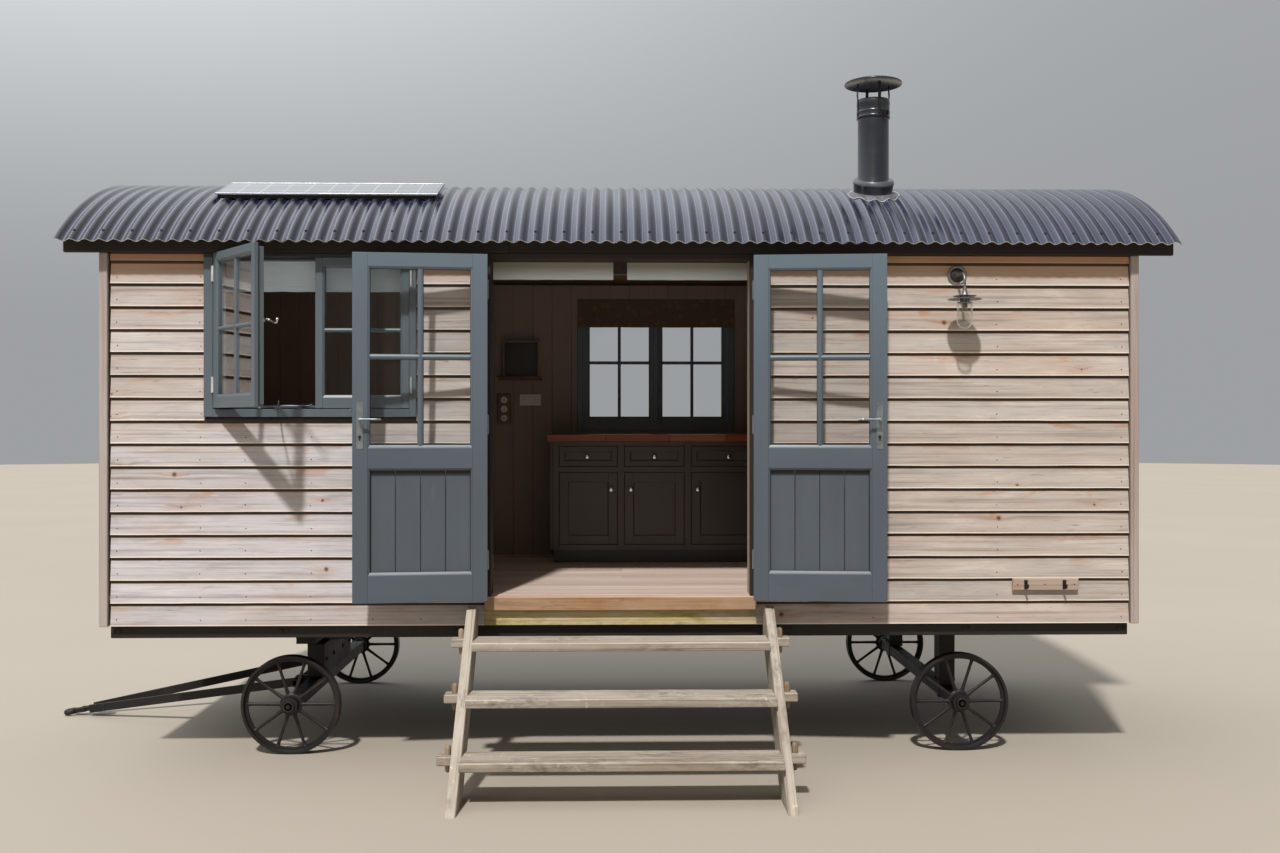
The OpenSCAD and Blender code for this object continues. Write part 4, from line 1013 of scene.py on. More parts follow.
# floor: boards along the hut on a framed deck with a boarded underside
P = Piece(M["floor"], M["dark"])
y = 0.022
while y < 2.227:
    e = min(y + 0.121, 2.228)
    j = rnd.choice([-1.8, -0.9, 0.0, 0.95, 1.85])
    for a, b in ((-2.778, j - 0.0004), (j + 0.0004, 2.778)):
        P.box((a, y + 0.0004, 0.869), (b, e - 0.0004, 0.890), c=0.0012)
    y = e
P.box((-2.778, 0.022, 0.752), (2.778, 2.228, 0.868), mat=1)
y = 0.022
while y < 2.227:
    e = min(y + 0.147, 2.228)
    P.box((-2.778, y + 0.0006, 0.735), (2.778, e - 0.0006, 0.7515), c=0.003, mat=1)
    y = e
P.make("floor_boards_laid", "hut", ["floor_deck"])

# ------------------------------------------------------------------- roof
P = Piece(M["dark"])
for y0, y1, o in ((-0.028, 0.0, -1), (2.25, 2.278, 1)):
    ya, yb = (y0, y1) if o < 0 else (y1, y0)
    poly = [(ya, 2.734), (ya - o * 0.004, 2.730), (yb, 2.730), (yb, arch(yb, SHEET_R - 0.001)),
            (ya - o * 0.012, arch(ya - o * 0.012, SHEET_R - 0.001)), (ya, arch(ya, SHEET_R - 0.001))]
    if o > 0:
        poly = poly[::-1]
    for a, b in ((-2.985, -0.62), (-0.6185, 1.81), (1.8115, 2.985)):
        P.prism(poly, a, b, "x")
P.make("eave_boards", "hut", ["eave_fascias"])

P = Piece(M["dark"], M["corner"], M["nail"])
half = math.asin(1.124 / 1.8305)
for s in (-1, 1):
    x0, x1 = (2.960, 2.985) if s > 0 else (-2.985, -2.960)
    cuts = [-half, -0.36, 0.36, half]
    for a0, a1 in zip(cuts, cuts[1:]):
        g = 0.0004
        ts = [a0 + g + (a1 - a0 - 2 * g) * i / 16 for i in range(17)]
        ring_o = [(YC + 1.8300 * math.sin(t), max(ZC + 1.8300 * math.cos(t), 2.7305)) for t in ts]
        ring_i = [(YC + 1.7362 * math.sin(t), max(ZC + 1.7362 * math.cos(t), 2.7305)) for t in ts]
        n = len(ts)
        V = [(x, y, z) for x in (x0, x1) for y, z in ring_i] + [(x, y, z) for x in (x0, x1) for y, z in ring_o]
        I0, I1, O0, O1 = 0, n, 2 * n, 3 * n
        F = [[I0, I1, O1, O0][::-1], [I0 + n - 1, O0 + n - 1, O1 + n - 1, I1 + n - 1][::-1]]
        for i in range(n - 1):
            F += [[O0 + i, O1 + i, O1 + i + 1, O0 + i + 1], [I0 + i, I0 + i + 1, I1 + i + 1, I1 + i],
                  [I0 + i, O0 + i, O0 + i + 1, I0 + i + 1], [I1 + i, I1 + i + 1, O1 + i + 1, O1 + i]]
        W = [((i % n) * (a1 - a0) / 16 * 1.78, 0.0 if j < 2 * n else 0.094, V[j][0]) for i, j in ((q, q) for q in range(4 * n))]
        P.add(V, F, wc=np.array(W) + rnd.uniform(-30, 30))
    # ends of the roof timbers under the overhang
    for t in (-0.60, -0.36, -0.12, 0.12, 0.36, 0.60):
        xa, xb = (2.8005, 2.9598) if s > 0 else (-2.9598, -2.8005)
        m = place(0, YC + 1.8300 * math.sin(t), ZC + 1.8300 * math.cos(t), rx=-math.degrees(t))
        P.box((xa, -0.024, -0.072), (xb, 0.024, -0.0008), c=0.002, mat=1, M=m)
    for t in np.linspace(-half + 0.05, half - 0.05, 9):
        m = place(x1 if s > 0 else x0, YC + 1.80 * math.sin(t), ZC + 1.80 * math.cos(t), ry=90 if s > 0 else -90)
        P.lathe([(0.005, 0), (0.0042, 0.0014)], 10, M=m, mat=2)
P.make("verge_boards_curved", "hut", ["verge_boards"])

g = Graph("roof_cut_edge", rough=0.45, metal=0.2)
e1 = g.noise(g.map(g.obj(), (40, 40, 40)), 1, 4, 0.6)
g.color(g.mix(e1, lin(196, 196, 198), lin(232, 231, 230)))
M["roof_edge"] = g.mat

PITCH, CREST0 = 0.0762, -2.9869
TH = math.asin(1.25 / ROOF_R)


def roof_at(x, lift=0.0):
    return 1.8326 + 0.0165 * 0.5 * (1 + math.cos(2 * math.pi * (x - CREST0) / PITCH)) + lift


P = Piece(M["roof"], M["roof_edge"], M["rubber"], M["nail"])
starts = [-2.995] + [CREST0 + (8 * i + 6.5) * PITCH for i in range(9)]
starts = [s for s in starts if s < 2.80]
nt = 36
th = np.linspace(-TH, TH, nt + 1)
for si, xa in enumerate(starts):
    xb = min(starts[si + 1] + 0.1, 2.995) if si + 1 < len(starts) else 2.995
    nx = int(round((xb - xa) / (PITCH / 8)))
    xs = np.linspace(xa, xb, nx + 1)
    lifts = [0.0011 * (1 - (x - xa) / (xb - xa)) for x in xs]
    rt = np.array([roof_at(x, l) for x, l in zip(xs, lifts)])
    V, W = [], []
    ox_, oy_ = rnd.uniform(-20, 20), rnd.uniform(-20, 20)
    for layer in (0, 1):
        for it, t in enumerate(th):
            r = rt - (0.0046 if it in (0, nt) else 0.0009) * layer
            for x, q in zip(xs, r):
                V.append((x, YC + q * math.sin(t), ZC + q * math.cos(t)))
                W.append((x + ox_, q * t + oy_, 0.0))
    nc, nr = nx + 1, nt + 1
    B = nc * nr
    F, mi = [], []
    for i in range(nt):
        for j in range(nx):
            a = i * nc + j
            F.append([a, a + 1, a + nc + 1, a + nc])
            F.append([B + a, B + a + nc, B + a + nc + 1, B + a + 1])
            mi += [0, 0]
    for j in range(nx):
        F.append([j, B + j, B + j + 1, j + 1])
        q = nt * nc + j
        F.append([q, q + 1, B + q + 1, B + q])
        mi += [1, 1]
    for i in range(nt):
        a, b = i * nc, (i + 1) * nc
        F.append([a, b, B + b, B + a])
        a, b = a + nx, b + nx
        F.append([a, B + a, B + b, b])
        mi += [0, 0]
    P.add(V, F, mat=mi, wc=np.array(W))
for row, t in enumerate((-40, 0, 40)):
    for k in range(1, 79, 2):
        x = CREST0 + k * PITCH
        if row == 1 and k % 4 != 1:
            continue
        m = place(x, YC + 1.8486 * math.sin(rad(t)), ZC + 1.8486 * math.cos(rad(t)), rx=-t)
        P.lathe([(0.0085, -0.001), (0.0085, 0.0018), (0.0070, 0.0026)], 12, M=m, mat=2 if row != 1 else 0)
        P.lathe([(0.0052, 0.0024), (0.0050, 0.0062), (0.0038, 0.0072)], 6, M=m, mat=3 if row != 1 else 0)
P.make("roof_corrugated", "hut", ["roof_sheet"], smooth=42)

# ceiling boards under the deck
P = Piece(M["ceiling"])
half = math.asin(1.0045 / 1.766)
cuts = np.linspace(-half, half, 21)
for a0, a1 in zip(cuts, cuts[1:]):
    q = []
    for r, g0 in ((1.7705, 0.0), (1.7640, 0.0), (1.7612, 0.0016)):
        q.append((r, a0 + 0.0003 + g0, a1 - 0.0003 - g0))
    poly = [(YC + q[0][0] * math.sin(q[0][1]), ZC + q[0][0] * math.cos(q[0][1])), (YC + q[1][0] * math.sin(q[1][1]), ZC + q[1][0] * math.cos(q[1][1])),
            (YC + q[2][0] * math.sin(q[2][1]), ZC + q[2][0] * math.cos(q[2][1])), (YC + q[2][0] * math.sin(q[2][2]), ZC + q[2][0] * math.cos(q[2][2])),
            (YC + q[1][0] * math.sin(q[1][2]), ZC + q[1][0] * math.cos(q[1][2])), (YC + q[0][0] * math.sin(q[0][2]), ZC + q[0][0] * math.cos(q[0][2]))]
    P.prism(poly, -2.679, 2.679, "x")
P.make("ceiling_boards", "hut")

# --------------------------------------------------------------- doorway
P = Piece(M["dark"], M["rail"], M["rubber"])
# the inner part of the left jamb is dark and that of the right jamb bare timber: the dark left part is painted shade
for s, (a, b) in ((-1, (DX0, DX0 + 0.035)), (1, (DX1 - 0.035, DX1))):
    P.box((a + 0.0004, -0.028, 0.8865), (b - 0.0004, 0.0215, 2.729), c=0.002, grain="z")
    P.box((a + 0.0004, 0.0217, 0.8905), (b - 0.0004, 0.1195, 2.729), c=0.0015, grain="z", mat=0 if s < 0 else 1)
    xa, xb = (b - 0.0004, b + 0.0) if s < 0 else (a - 0.0, a + 0.0004)
P.box((DX0 + 0.0352, -0.0278, 2.7002), (DX1 - 0.0352, 0.1195, 2.7288), c=0.0015)
P.make("door_frame_timbers", "hut", ["door_frame"])

P = Piece(M["sill"], M["sill_front"])
# bleached top and an orange-brown front edge
P.prism([(-0.0265, 0.8122), (-0.0300, 0.8150), (-0.0300, 0.8780), (-0.0262, 0.8818), (0.0215, 0.8818), (0.0215, 0.8112), (-0.0235, 0.8112)],
        DX0 + 0.0005, DX1 - 0.0005, "x", mat=1)
P.box((DX0 + 0.0005, -0.0292, 0.8790), (DX1 - 0.0005, 0.0216, 0.8860), c=0.0022, mat=0)
P.make("door_sill_timber", "hut", ["door_sill"])

HINGE_Z = (1.090, 1.810, 2.530)
AX, AY = (-0.7245, 0.6915), -0.084
P = Piece(M["steel"], M["rubber"])
for s in (0, 1):
    base = place(AX[s], AY, 0, mirror=0 if s else None)
    for z in HINGE_Z:
        for k0, k1 in ((-0.050, -0.018), (0.018, 0.050)):
            P.cyl((0, 0, z + k0 + 0.0003), (0, 0, z + k1 - 0.0003), 0.0065, seg=20, c=0.0007, M=base)
            P.box((-0.006, 0.0, z + k0), (-0.003, 0.053, z + k1), c=0.0005, M=base)
            P.box((-0.018, 0.053, z + k0), (-0.003, 0.0558, z + k1), c=0.0005, M=base)
            for q in (0.3, 0.7):
                P.cyl((-0.0102, 0.0545, z + k0 + (k1 - k0) * q), (-0.0102, 0.0524, z + k0 + (k1 - k0) * q), 0.0028, seg=12, c=0.0004, M=base)
        P.cyl((0, 0, z - 0.0525), (0, 0, z + 0.0525), 0.0034, seg=14, c=0.0012, M=base)
P.make("hinge_knuckles", "hut", ["frame_hinges"])


def leaf(side):
    s = 0 if side == "left" else 1
    T = place(AX[s], AY, 0, rz=-174.5 if s == 0 else 174.5, mirror=0 if s else None)
    x0, x1, z0, z1, y0, y1 = 0.001, 0.702, 0.875, 2.711, 0.008, 0.048
    gx0, gx1, gz0, gz1 = 0.090, 0.612, 1.703, 2.628
    pz0, pz1 = 1.035, 1.569
    o, foot = 0.011, 1.65
    P = Piece(M["door"], M["rubber"], M["door_panel"])
    P.M = T
    for a, b in ((x0, gx0 - o), (gx1 + o, x1)):
        P.box((a, y0, z0), (b, y1, z1), c=0.0018, grain="z")
    for a, b in ((z0, pz0 - o * foot), (pz1 + o, gz0 - o * foot), (gz1 + o, z1)):
        P.box((gx0 - o - 0.0002, y0 + 0.0001, a), (gx1 + o + 0.0002, y1 - 0.0001, b), c=0.0009, grain="x")
    bevel = [(o, y0 + 0.0002), (o, y1 - 0.0003), (0.0095, y1 - 0.0008), (0.0, y1 - 0.0105), (0.0, y0 + 0.0105), (0.0095, y0 + 0.0008)]
    P.ring(gx0, gx1, gz0, gz1, bevel, foot=foot)
    bevel = [(o, y0 + 0.0002), (o, y1 - 0.0003), (0.0095, y1 - 0.0008), (0.0, y1 - 0.0125), (0.0, y0 + 0.0035), (0.0095, y0 + 0.0006)]
    P.ring(gx0, gx1, pz0, pz1, bevel, foot=foot)
    # glazing bars: rounded to both faces
    cx, cz = (gx0 + gx1) / 2, (gz0 + gz1) / 2
    half = [(-0.0140, 0.0050), (-0.0140, 0.0092), (-0.0130, 0.0102), (-0.0042, 0.0154), (-0.0028, 0.0160), (0.0028, 0.0160),
            (0.0042, 0.0154), (0.0130, 0.0102), (0.0140, 0.0092), (0.0140, 0.0050)]
    bar = [(a, 0.028 + b) for a, b in half] + [(-a, 0.028 - b) for a, b in half]
    P.prism([(cx + a, b) for a, b in bar], gz0 - 0.0005, gz1 + 0.0005, "z")
    bar2 = [(b, cz + a) for a, b in bar]
    P.prism(bar2, gx0 - 0.0005, cx, "x")
    P.prism(bar2, cx, gx1 + 0.0005, "x")
    # glazing seals just inside the bevels
    for xa, xb in ((gx0, cx - 0.014), (cx + 0.014, gx1)):
        for za, zb in ((gz0, cz - 0.014), (cz + 0.014, gz1)):
            P.ring(xa + 0.0022, xb - 0.0022, za + 0.0022, zb - 0.0022, [(0.0, 0.0312), (0.0026, 0.0312), (0.0026, 0.0248), (0.0, 0.0248)], mat=1)
    # tongued boards in the lower panel
    w = (gx1 - gx0) / 4
    for i in range(4):
        a, b = gx0 + w * i, gx0 + w * (i + 1)
        v = 0.0034
        P.prism([(a + 0.0004, 0.0092 + v), (a + v, 0.0092), (b - v, 0.0092), (b - 0.0004, 0.0092 + v),
                 (b - 0.0004, 0.0190 - v * 1.2), (b - v, 0.0190), (a + v, 0.0190), (a + 0.0004, 0.0190 - v * 1.5)], pz0 + 0.0003, pz1 - 0.0003, "z", mat=2)
    P.make(side + "_door_timbers", side + "_door", [side + "_door_leaf"])

    P = Piece(M["steel"], M["rubber"])
    P.M = T
    for z in HINGE_Z:
        P.cyl((0, 0, z - 0.0172), (0, 0, z + 0.0172), 0.0065, seg=20, c=0.0007)
        P.box((0.0005, 0.0035, z - 0.0175), (0.032, 0.0079, z + 0.0175), c=0.0006)
        for q in (-0.009, 0.009):
            P.cyl((0.022, 0.0040, z + q), (0.022, 0.0030, z + q), 0.0032, seg=12, c=0.0004)
    for y, d in ((0.008, -1), (0.048, 1)):
        # long plate with rounded ends, two screws and a keyway
        a, b, c0, c1 = 0.646, 0.680, 1.681, 1.928
        pts = []
        for qx, qz, st in ((b - 0.006, c1 - 0.006, 0), (a + 0.006, c1 - 0.006, 90), (a + 0.006, c0 + 0.006, 180), (b - 0.006, c0 + 0.006, 270)):
            pts += [(qx + 0.006 * math.cos(rad(st + u)), qz + 0.006 * math.sin(rad(st + u))) for u in (0, 22.5, 45, 67.5, 90)]
        ya, yb = (y, y + d * 0.0022)
        P.prism(pts, min(ya, yb), max(ya, yb), "y")
        inner = [(0.663 + (px - 0.663) * 0.90, 1.8045 + (pz - 1.8045) * 0.985) for px, pz in pts]
        P.prism(inner, min(yb, y + d * 0.0030), max(yb, y + d * 0.0030), "y")
        for zz in (1.692, 1.917):
            P.cyl((0.663, y + d * 0.0028, zz), (0.663, y + d * 0.0036, zz), 0.0036, seg=14, c=0.0004)
        P.cyl((0.663, y + d * 0.0028, 1.745), (0.663, y + d * 0.0052, 1.745), 0.0088, seg=24, c=0.0006, mat=1)
        P.box((0.6595, min(y + d * 0.0028, y + d * 0.0052), 1.7255), (0.6665, max(y + d * 0.0028, y + d * 0.0052), 1.741), c=0.0006, mat=1)
        P.box((0.6624, min(y + d * 0.0050, y + d * 0.0055), 1.7395), (0.6636, max(y + d * 0.0050, y + d * 0.0055), 1.7495), c=0.0001, mat=1)
    P.make(side + "_door_ironmongery", side + "_door", [side + "_door_hardware"])

    P = Piece(M["steel"])
    P.M = T
    for yf, d in ((0.008, -1), (0.048, 1)):
        P.cyl((0.663, yf + d * 0.0036, 1.837), (0.663, yf + d * 0.0108, 1.837), 0.0118, seg=28, c=0.0012)
        P.cyl((0.663, yf + d * 0.0100, 1.837), (0.663, yf + d * 0.0400, 1.837), 0.0078, seg=20, c=0.0006)
        yc = yf + d * 0.0430
        pts = [(0.6665, yc, 1.837), (0.660, yc, 1.837), (0.647, yc, 1.8372), (0.612, yc, 1.8374), (0.582, yc, 1.8372), (0.566, yc, 1.837), (0.5605, yc, 1.837)]
        P.tube(pts, [0.0068, 0.0080, 0.0075, 0.0070, 0.0070, 0.0078, 0.0060], seg=16, flat=0.82)
        P.cyl((0.663, yf + d * 0.0385, 1.837), (0.663, yf + d * 0.0495, 1.837), 0.0088, seg=20, c=0.0020)
    P.cyl((0.663, -0.038, 1.837), (0.663, 0.094, 1.837), 0.0050, seg=12, c=0.0004)
    P.make(side + "_door_handle", side + "_lever", [side + "_door_lever"])


leaf("left")
leaf("right")


# --------------------------------------------------------------- windows
BAR = [(-0.0110, 0.0050), (-0.0110, 0.0076), (-0.0102, 0.0084), (-0.0036, 0.0124), (-0.0024, 0.0130), (0.0024, 0.0130),
       (0.0036, 0.0124), (0.0102, 0.0084), (0.0110, 0.0076), (0.0110, 0.0050)]


def sash(P, w, h, T, mat=0):
    """A casement in its own coordinates: hinge side x = 0, outer face y = 0."""
    keep, P.M = P.M, T
    x0, x1, z0, z1 = 0.048, w - 0.048, 0.062, h - 0.048
    o = 0.009
    for a, b in ((0.0, x0 - o), (x1 + o, w)):
        P.box((a, 0, 0), (b, 0.040, h), c=0.0018, grain="z", mat=mat)
    P.box((x0 - o - 0.0002, 0.0001, 0.0001), (x1 + o + 0.0002, 0.0399, z0 - o * 1.7), c=0.0010, mat=mat)
    P.box((x0 - o - 0.0002, 0.0001, z1 + o), (x1 + o + 0.0002, 0.0399, h - 0.0001), c=0.0010, mat=mat)
    P.ring(x0, x1, z0, z1, [(o, 0.0002), (o, 0.0397), (0.0, 0.0330), (0.0, 0.0090), (0.0078, 0.0008)], foot=1.7, mat=mat)
    cx, cz = w / 2, h / 2 + 0.007
    half = BAR
    bar = [(a, 0.020 + b) for a, b in half] + [(-a, 0.020 - b) for a, b in half]
    P.prism([(cx + a, b) for a, b in bar], z0 - 0.0005, z1 + 0.0005, "z", mat=mat)
    bar2 = [(b, cz + a) for a, b in bar]
    P.prism(bar2, x0 - 0.0005, cx, "x", mat=mat)
    P.prism(bar2, cx, x1 + 0.0005, "x", mat=mat)
    P.M = keep


def storm_sash(P, w, h, T, e=0.0, et=0.0, mat=0, seal=2):
    """A casement with a lip outside and a thicker body behind it, set in by e."""
    keep, P.M = P.M, T
    x0, x1, z0, z1 = 0.048, w - 0.048, 0.072, h - 0.050
    o, foot = 0.009, 1.7
    for ya, yb, i, t in ((0.0, 0.0218, 0.0, 0.0), (0.0220, 0.0560, e, et)):
        for a, b in ((i, x0 - o), (x1 + o, w - i)):
            P.box((a, ya, i), (b, yb, h - t), c=0.0018 if ya == 0 else 0.0012, grain="z", mat=mat)
        P.box((x0 - o - 0.0002, ya + 0.0001, i + 0.0001), (x1 + o + 0.0002, yb - 0.0001, z0 - o * foot), c=0.0010, mat=mat)
        P.box((x0 - o - 0.0002, ya + 0.0001, z1 + o), (x1 + o + 0.0002, yb - 0.0001, h - t - 0.0001), c=0.0010, mat=mat)
    if e:
        P.ring(e, w - e, e, h - et, [(0.0002, 0.0221), (0.0050, 0.0221), (0.0050, 0.0262), (0.0002, 0.0275)], mat=seal)
    P.ring(x0, x1, z0, z1, [(o, 0.0002), (o, 0.0557), (0.0, 0.0500), (0.0, 0.0090), (0.0078, 0.0008)], foot=foot, mat=mat)
    cx, cz = w / 2, 0.421
    bar = [(a, 0.020 + b) for a, b in BAR] + [(-a, 0.020 - b) for a, b in BAR]
    P.prism([(cx + a, b) for a, b in bar], z0 - 0.0005, z1 + 0.0005, "z", mat=mat)
    bar2 = [(b, cz + a) for a, b in bar]
    P.prism(bar2, x0 - 0.0005, cx, "x", mat=mat)
    P.prism(bar2, cx, x1 + 0.0005, "x", mat=mat)
    P.M = keep


def window_surround(P, x0, x1, z0, z1, T):
    keep, P.M = P.M, T
    for a, b in ((x0, x0 + 0.040), (x1 - 0.040, x1)):
        P.box((a + 0.0004, 0.0, z0), (b, 0.095, z1), c=0.0018, grain="z")
    P.box((x0 + 0.0402, 0.0003, z1 - 0.018), (x1 - 0.0402, 0.0948, z1), c=0.0012)
    # sill: sloped top, nose with a drip groove
    P.prism([(0.0005, z0), (0.0945, z0), (0.0945, z0 + 0.045), (0.045, z0 + 0.045), (0.0405, z0 + 0.0445), (0.0005, z0 + 0.0355)],
            x0 + 0.0402, x1 - 0.0402, "x")
    P.prism([(-0.0265, z0 - 0.002), (-0.0190, z0 - 0.002), (-0.0190, z0 + 0.002), (-0.0150, z0 + 0.002), (-0.0150, z0 - 0.002), (-0.0003, z0 - 0.002),
             (-0.0003, z0 + 0.0338), (-0.0265, z0 + 0.0275), (-0.0280, z0 + 0.0255), (-0.0280, z0)], x0 - 0.0118, x1 + 0.0118, "x")
    # stops the casements close against
    P.ring(x0 + 0.0520, x1 - 0.0520, z0 + 0.0570, z1 - 0.0300, [(0.0, 0.046), (0.0118, 0.046), (0.0118, 0.0945), (0.0, 0.0945)])
    P.M = keep


def win_hinge(P, T, z, mat, x=-0.001, y=-0.0035, flap=True):
    keep, P.M = P.M, T
    for k0, k1 in ((-0.042, -0.0145), (-0.0140, 0.0140), (0.0145, 0.042)):
        P.cyl((x, y, z + k0), (x, y, z + k1), 0.0048, seg=16, c=0.0006, mat=mat)
    P.cyl((x, y, z - 0.0445), (x, y, z + 0.0445), 0.0030, seg=12, c=0.0008, mat=mat)
    if flap:
        P.box((0.0005, -0.0016, z - 0.042), (0.022, 0.0, z + 0.042), c=0.0003, mat=mat)
        for q in (-0.028, 0.0, 0.028):
            P.cyl((0.0125, -0.0014, z + q), (0.0125, -0.0024, z + q), 0.0026, seg=10, c=0.0003, mat=mat)
    P.M = keep


SHUT_X, SHUT_W, SHUT_H = WX0 + 0.592, 0.5025, 0.811
OPEN_W, OPEN_H, CZ = 0.535, 0.827, WZ0 + 0.045
P = Piece(M["window_frame"])
for a, b in ((WX0, WX0 + 0.050), (WX1 - 0.036, WX1)):
    P.box((a + 0.0004, -0.014, WZ0), (b, 0.095, WZ1), c=0.0018, grain="z")
P.box((WX0 + 0.0502, -0.0138, WZ1 - 0.018), (WX1 - 0.0362, 0.0948, WZ1), c=0.0012)
# foot with a fall to the front and a thin upstand behind
P.prism([(-0.0138, WZ0), (0.0945, WZ0), (0.0945, WZ0 + 0.043), (0.046, WZ0 + 0.043), (-0.0112, WZ0 + 0.0402), (-0.0138, WZ0 + 0.0376)],
        WX0 + 0.0502, WX1 - 0.0362, "x")
P.ring(WX0 + 0.0620, WX1 - 0.0480, WZ0 + 0.0620, WZ1 - 0.0300, [(0.0, 0.0575), (0.0118, 0.0575), (0.0118, 0.0945), (0.0, 0.0945)])
P.box((WX0 + 0.0625, 0.0700, WZ0 + 0.0432), (WX1 - 0.0485, 0.0944, WZ0 + 0.0506), c=0.0008)
P.make("front_window_timbers", "hut", ["front_window_frame"])

TO = place(WX0 + 0.056, -0.030, CZ + 0.002, rz=-51)
TF = place(SHUT_X, -0.004, CZ)
P = Piece(M["window"], M["zinc"], M["rubber"])
storm_sash(P, OPEN_W, OPEN_H, TO, 0.012, 0.018)
storm_sash(P, SHUT_W, SHUT_H, TF)
# open casement: cranked hinges in the gap at its left
for z in (0.124, 0.718):
    P.M = np.eye(4)
    hx, hy, hz = WX0 + 0.0485, -0.0200, CZ + 0.002 + z
    P.cyl((hx, hy, hz - 0.0420), (hx, hy, hz - 0.0145), 0.0066, seg=18, c=0.0008, mat=1)
    P.cyl((hx, hy, hz - 0.0140), (hx, hy, hz + 0.0140), 0.0066, seg=18, c=0.0008, mat=1)
    P.cyl((hx, hy, hz + 0.0145), (hx, hy, hz + 0.0420), 0.0066, seg=18, c=0.0008, mat=1)
    P.box((hx - 0.0010, hy, hz - 0.0420), (hx + 0.0012, 0.0300, hz + 0.0420), c=0.0004, mat=1, grain="z")
    P.box((hx + 0.0020, hy - 0.0110, hz - 0.0420), (hx + 0.0085, hy - 0.0086, hz + 0.0420), c=0.0004, mat=1, grain="z")
TFm = TF @ place(SHUT_W, 0, 0, mirror=0)
for z in (0.124, SHUT_H - 0.115):
    win_hinge(P, TFm, z, 1, x=-0.0120, y=-0.0148, flap=False)
P.make("front_casement_timbers", "hut", ["front_casements"])

# fastener on the free stile of the open casement, stay, and pins
P = Piece(M["bright"], M["galv"])
P.M = TO
zc, yb = 0.440, 0.0560
P.box((OPEN_W - 0.048, yb, zc - 0.030), (OPEN_W - 0.022, yb + 0.0025, zc + 0.030), c=0.0008)
P.cyl((OPEN_W - 0.034, yb + 0.0024, zc), (OPEN_W - 0.034, yb + 0.0150, zc), 0.0085, seg=20, c=0.001)
P.tube([(OPEN_W - 0.038, yb + 0.0125, zc + 0.001), (OPEN_W - 0.010, yb + 0.0140, zc - 0.001), (OPEN_W + 0.020, yb + 0.0150, zc - 0.004), (OPEN_W + 0.050, yb + 0.0150, zc - 0.012),
        (OPEN_W + 0.078, yb + 0.0150, zc - 0.021), (OPEN_W + 0.098, yb + 0.0150, zc - 0.024), (OPEN_W + 0.110, yb + 0.0150, zc - 0.018), (OPEN_W + 0.113, yb + 0.0150, zc - 0.008)],
       [0.0060, 0.0055, 0.0050, 0.0046, 0.0046, 0.0048, 0.0046, 0.0040], seg=12)
for dx, dz, r in ((0.016, -0.002, 0.0078), (0.113, -0.005, 0.0082), (-0.008, 0.002, 0.0070)):
    P.lathe([(0.0, -r), (r * 0.5, -r * 0.86), (r * 0.86, -r * 0.5), (r, 0.0), (r * 0.86, r * 0.5), (r * 0.5, r * 0.86), (0.0, r)], 16,
            M=place(OPEN_W + dx, yb + 0.0150, zc + dz))
P.M = np.eye(4)
# stay along the foot of the frame with its pegs
za = WZ0 + 0.0610
free = TO @ np.array([OPEN_W - 0.030, 0.040, -0.006, 1.0])
near = TO @ np.array([OPEN_W - 0.030, 0.040, 0.001, 1.0])
P.cyl(tuple(free[:3]), tuple(near[:3]), 0.0075, seg=16, c=0.001)
P.tube([tuple(free[:3]), (-1.862, -0.120, za - 0.006), (-1.8600, 0.000, za), (-1.8560, 0.030, za), (-1.835, 0.040, za), (-1.760, 0.042, za), (-1.702, 0.042, za), (-1.690, 0.042, za + 0.004), (-1.683, 0.042, za + 0.010)],
       [0.0040, 0.0042, 0.0042, 0.0044, 0.0046, 0.0046, 0.0042, 0.0040, 0.0036], seg=10, flat=0.6, mat=1)
for px, py, top in ((-1.858, 0.0200, 0.089), (-1.740, 0.0420, 0.070)):
    P.cyl((px, py, WZ0 + 0.040), (px, py, WZ0 + top), 0.0034, seg=12, mat=1)
    P.box((px - 0.020, py - 0.008, WZ0 + 0.0425), (px + 0.020, py + 0.008, WZ0 + 0.0460), c=0.0006, mat=1)
# small hook and eye on the foot below the closed casement
hx, hz = -1.464, WZ0 + 0.026
for dx, dz in ((0.0, 0.010), (0.006, -0.008)):
    P.lathe([(0.0058, -0.0012), (0.0070, 0.0), (0.0058, 0.0012), (0.0046, 0.0)], 18, M=place(hx + dx, -0.0162, hz + dz, rx=90), closed=True)
P.cyl((hx, -0.0138, hz + 0.010), (hx, -0.0178, hz + 0.010), 0.0026, seg=10, c=0.0004)
P.cyl((hx + 0.006, -0.0138, hz - 0.008), (hx + 0.006, -0.0178, hz - 0.008), 0.0026, seg=10, c=0.0004)
P.make("window_fasteners", "hut")

TB = np.eye(4)
TB[1, 1], TB[1, 3] = -1, 2.25
P = Piece(M["window"], M["steel"])
window_surround(P, BX0, BX1, BZ0, BZ1, TB)
BM = (BX0 + BX1) / 2
P.M = TB
P.box((BM - 0.014, 0.0425, BZ0 + 0.0455), (BM + 0.014, 0.0943, BZ1 - 0.0185), c=0.0015, grain="z")
P.M = np.eye(4)
for x, flipped in ((BX0 + 0.0395, False), (BM + 0.0015, True)):
    T = TB @ place(x, 0.004, BZ0 + 0.0445)
    sash(P, 0.519, 0.881, T)
    for z in (0.115, 0.881 - 0.115):
        win_hinge(P, T @ place(0.519, 0, 0, mirror=0) if flipped else T, z, 1)
P.make("back_window_timbers", "hut", ["back_window_frame"])

for n in ("window_glass", "left_door_glass", "right_door_glass"):
    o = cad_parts[n]
    o.data.materials.clear()
    o.data.materials.append(M["glass"])


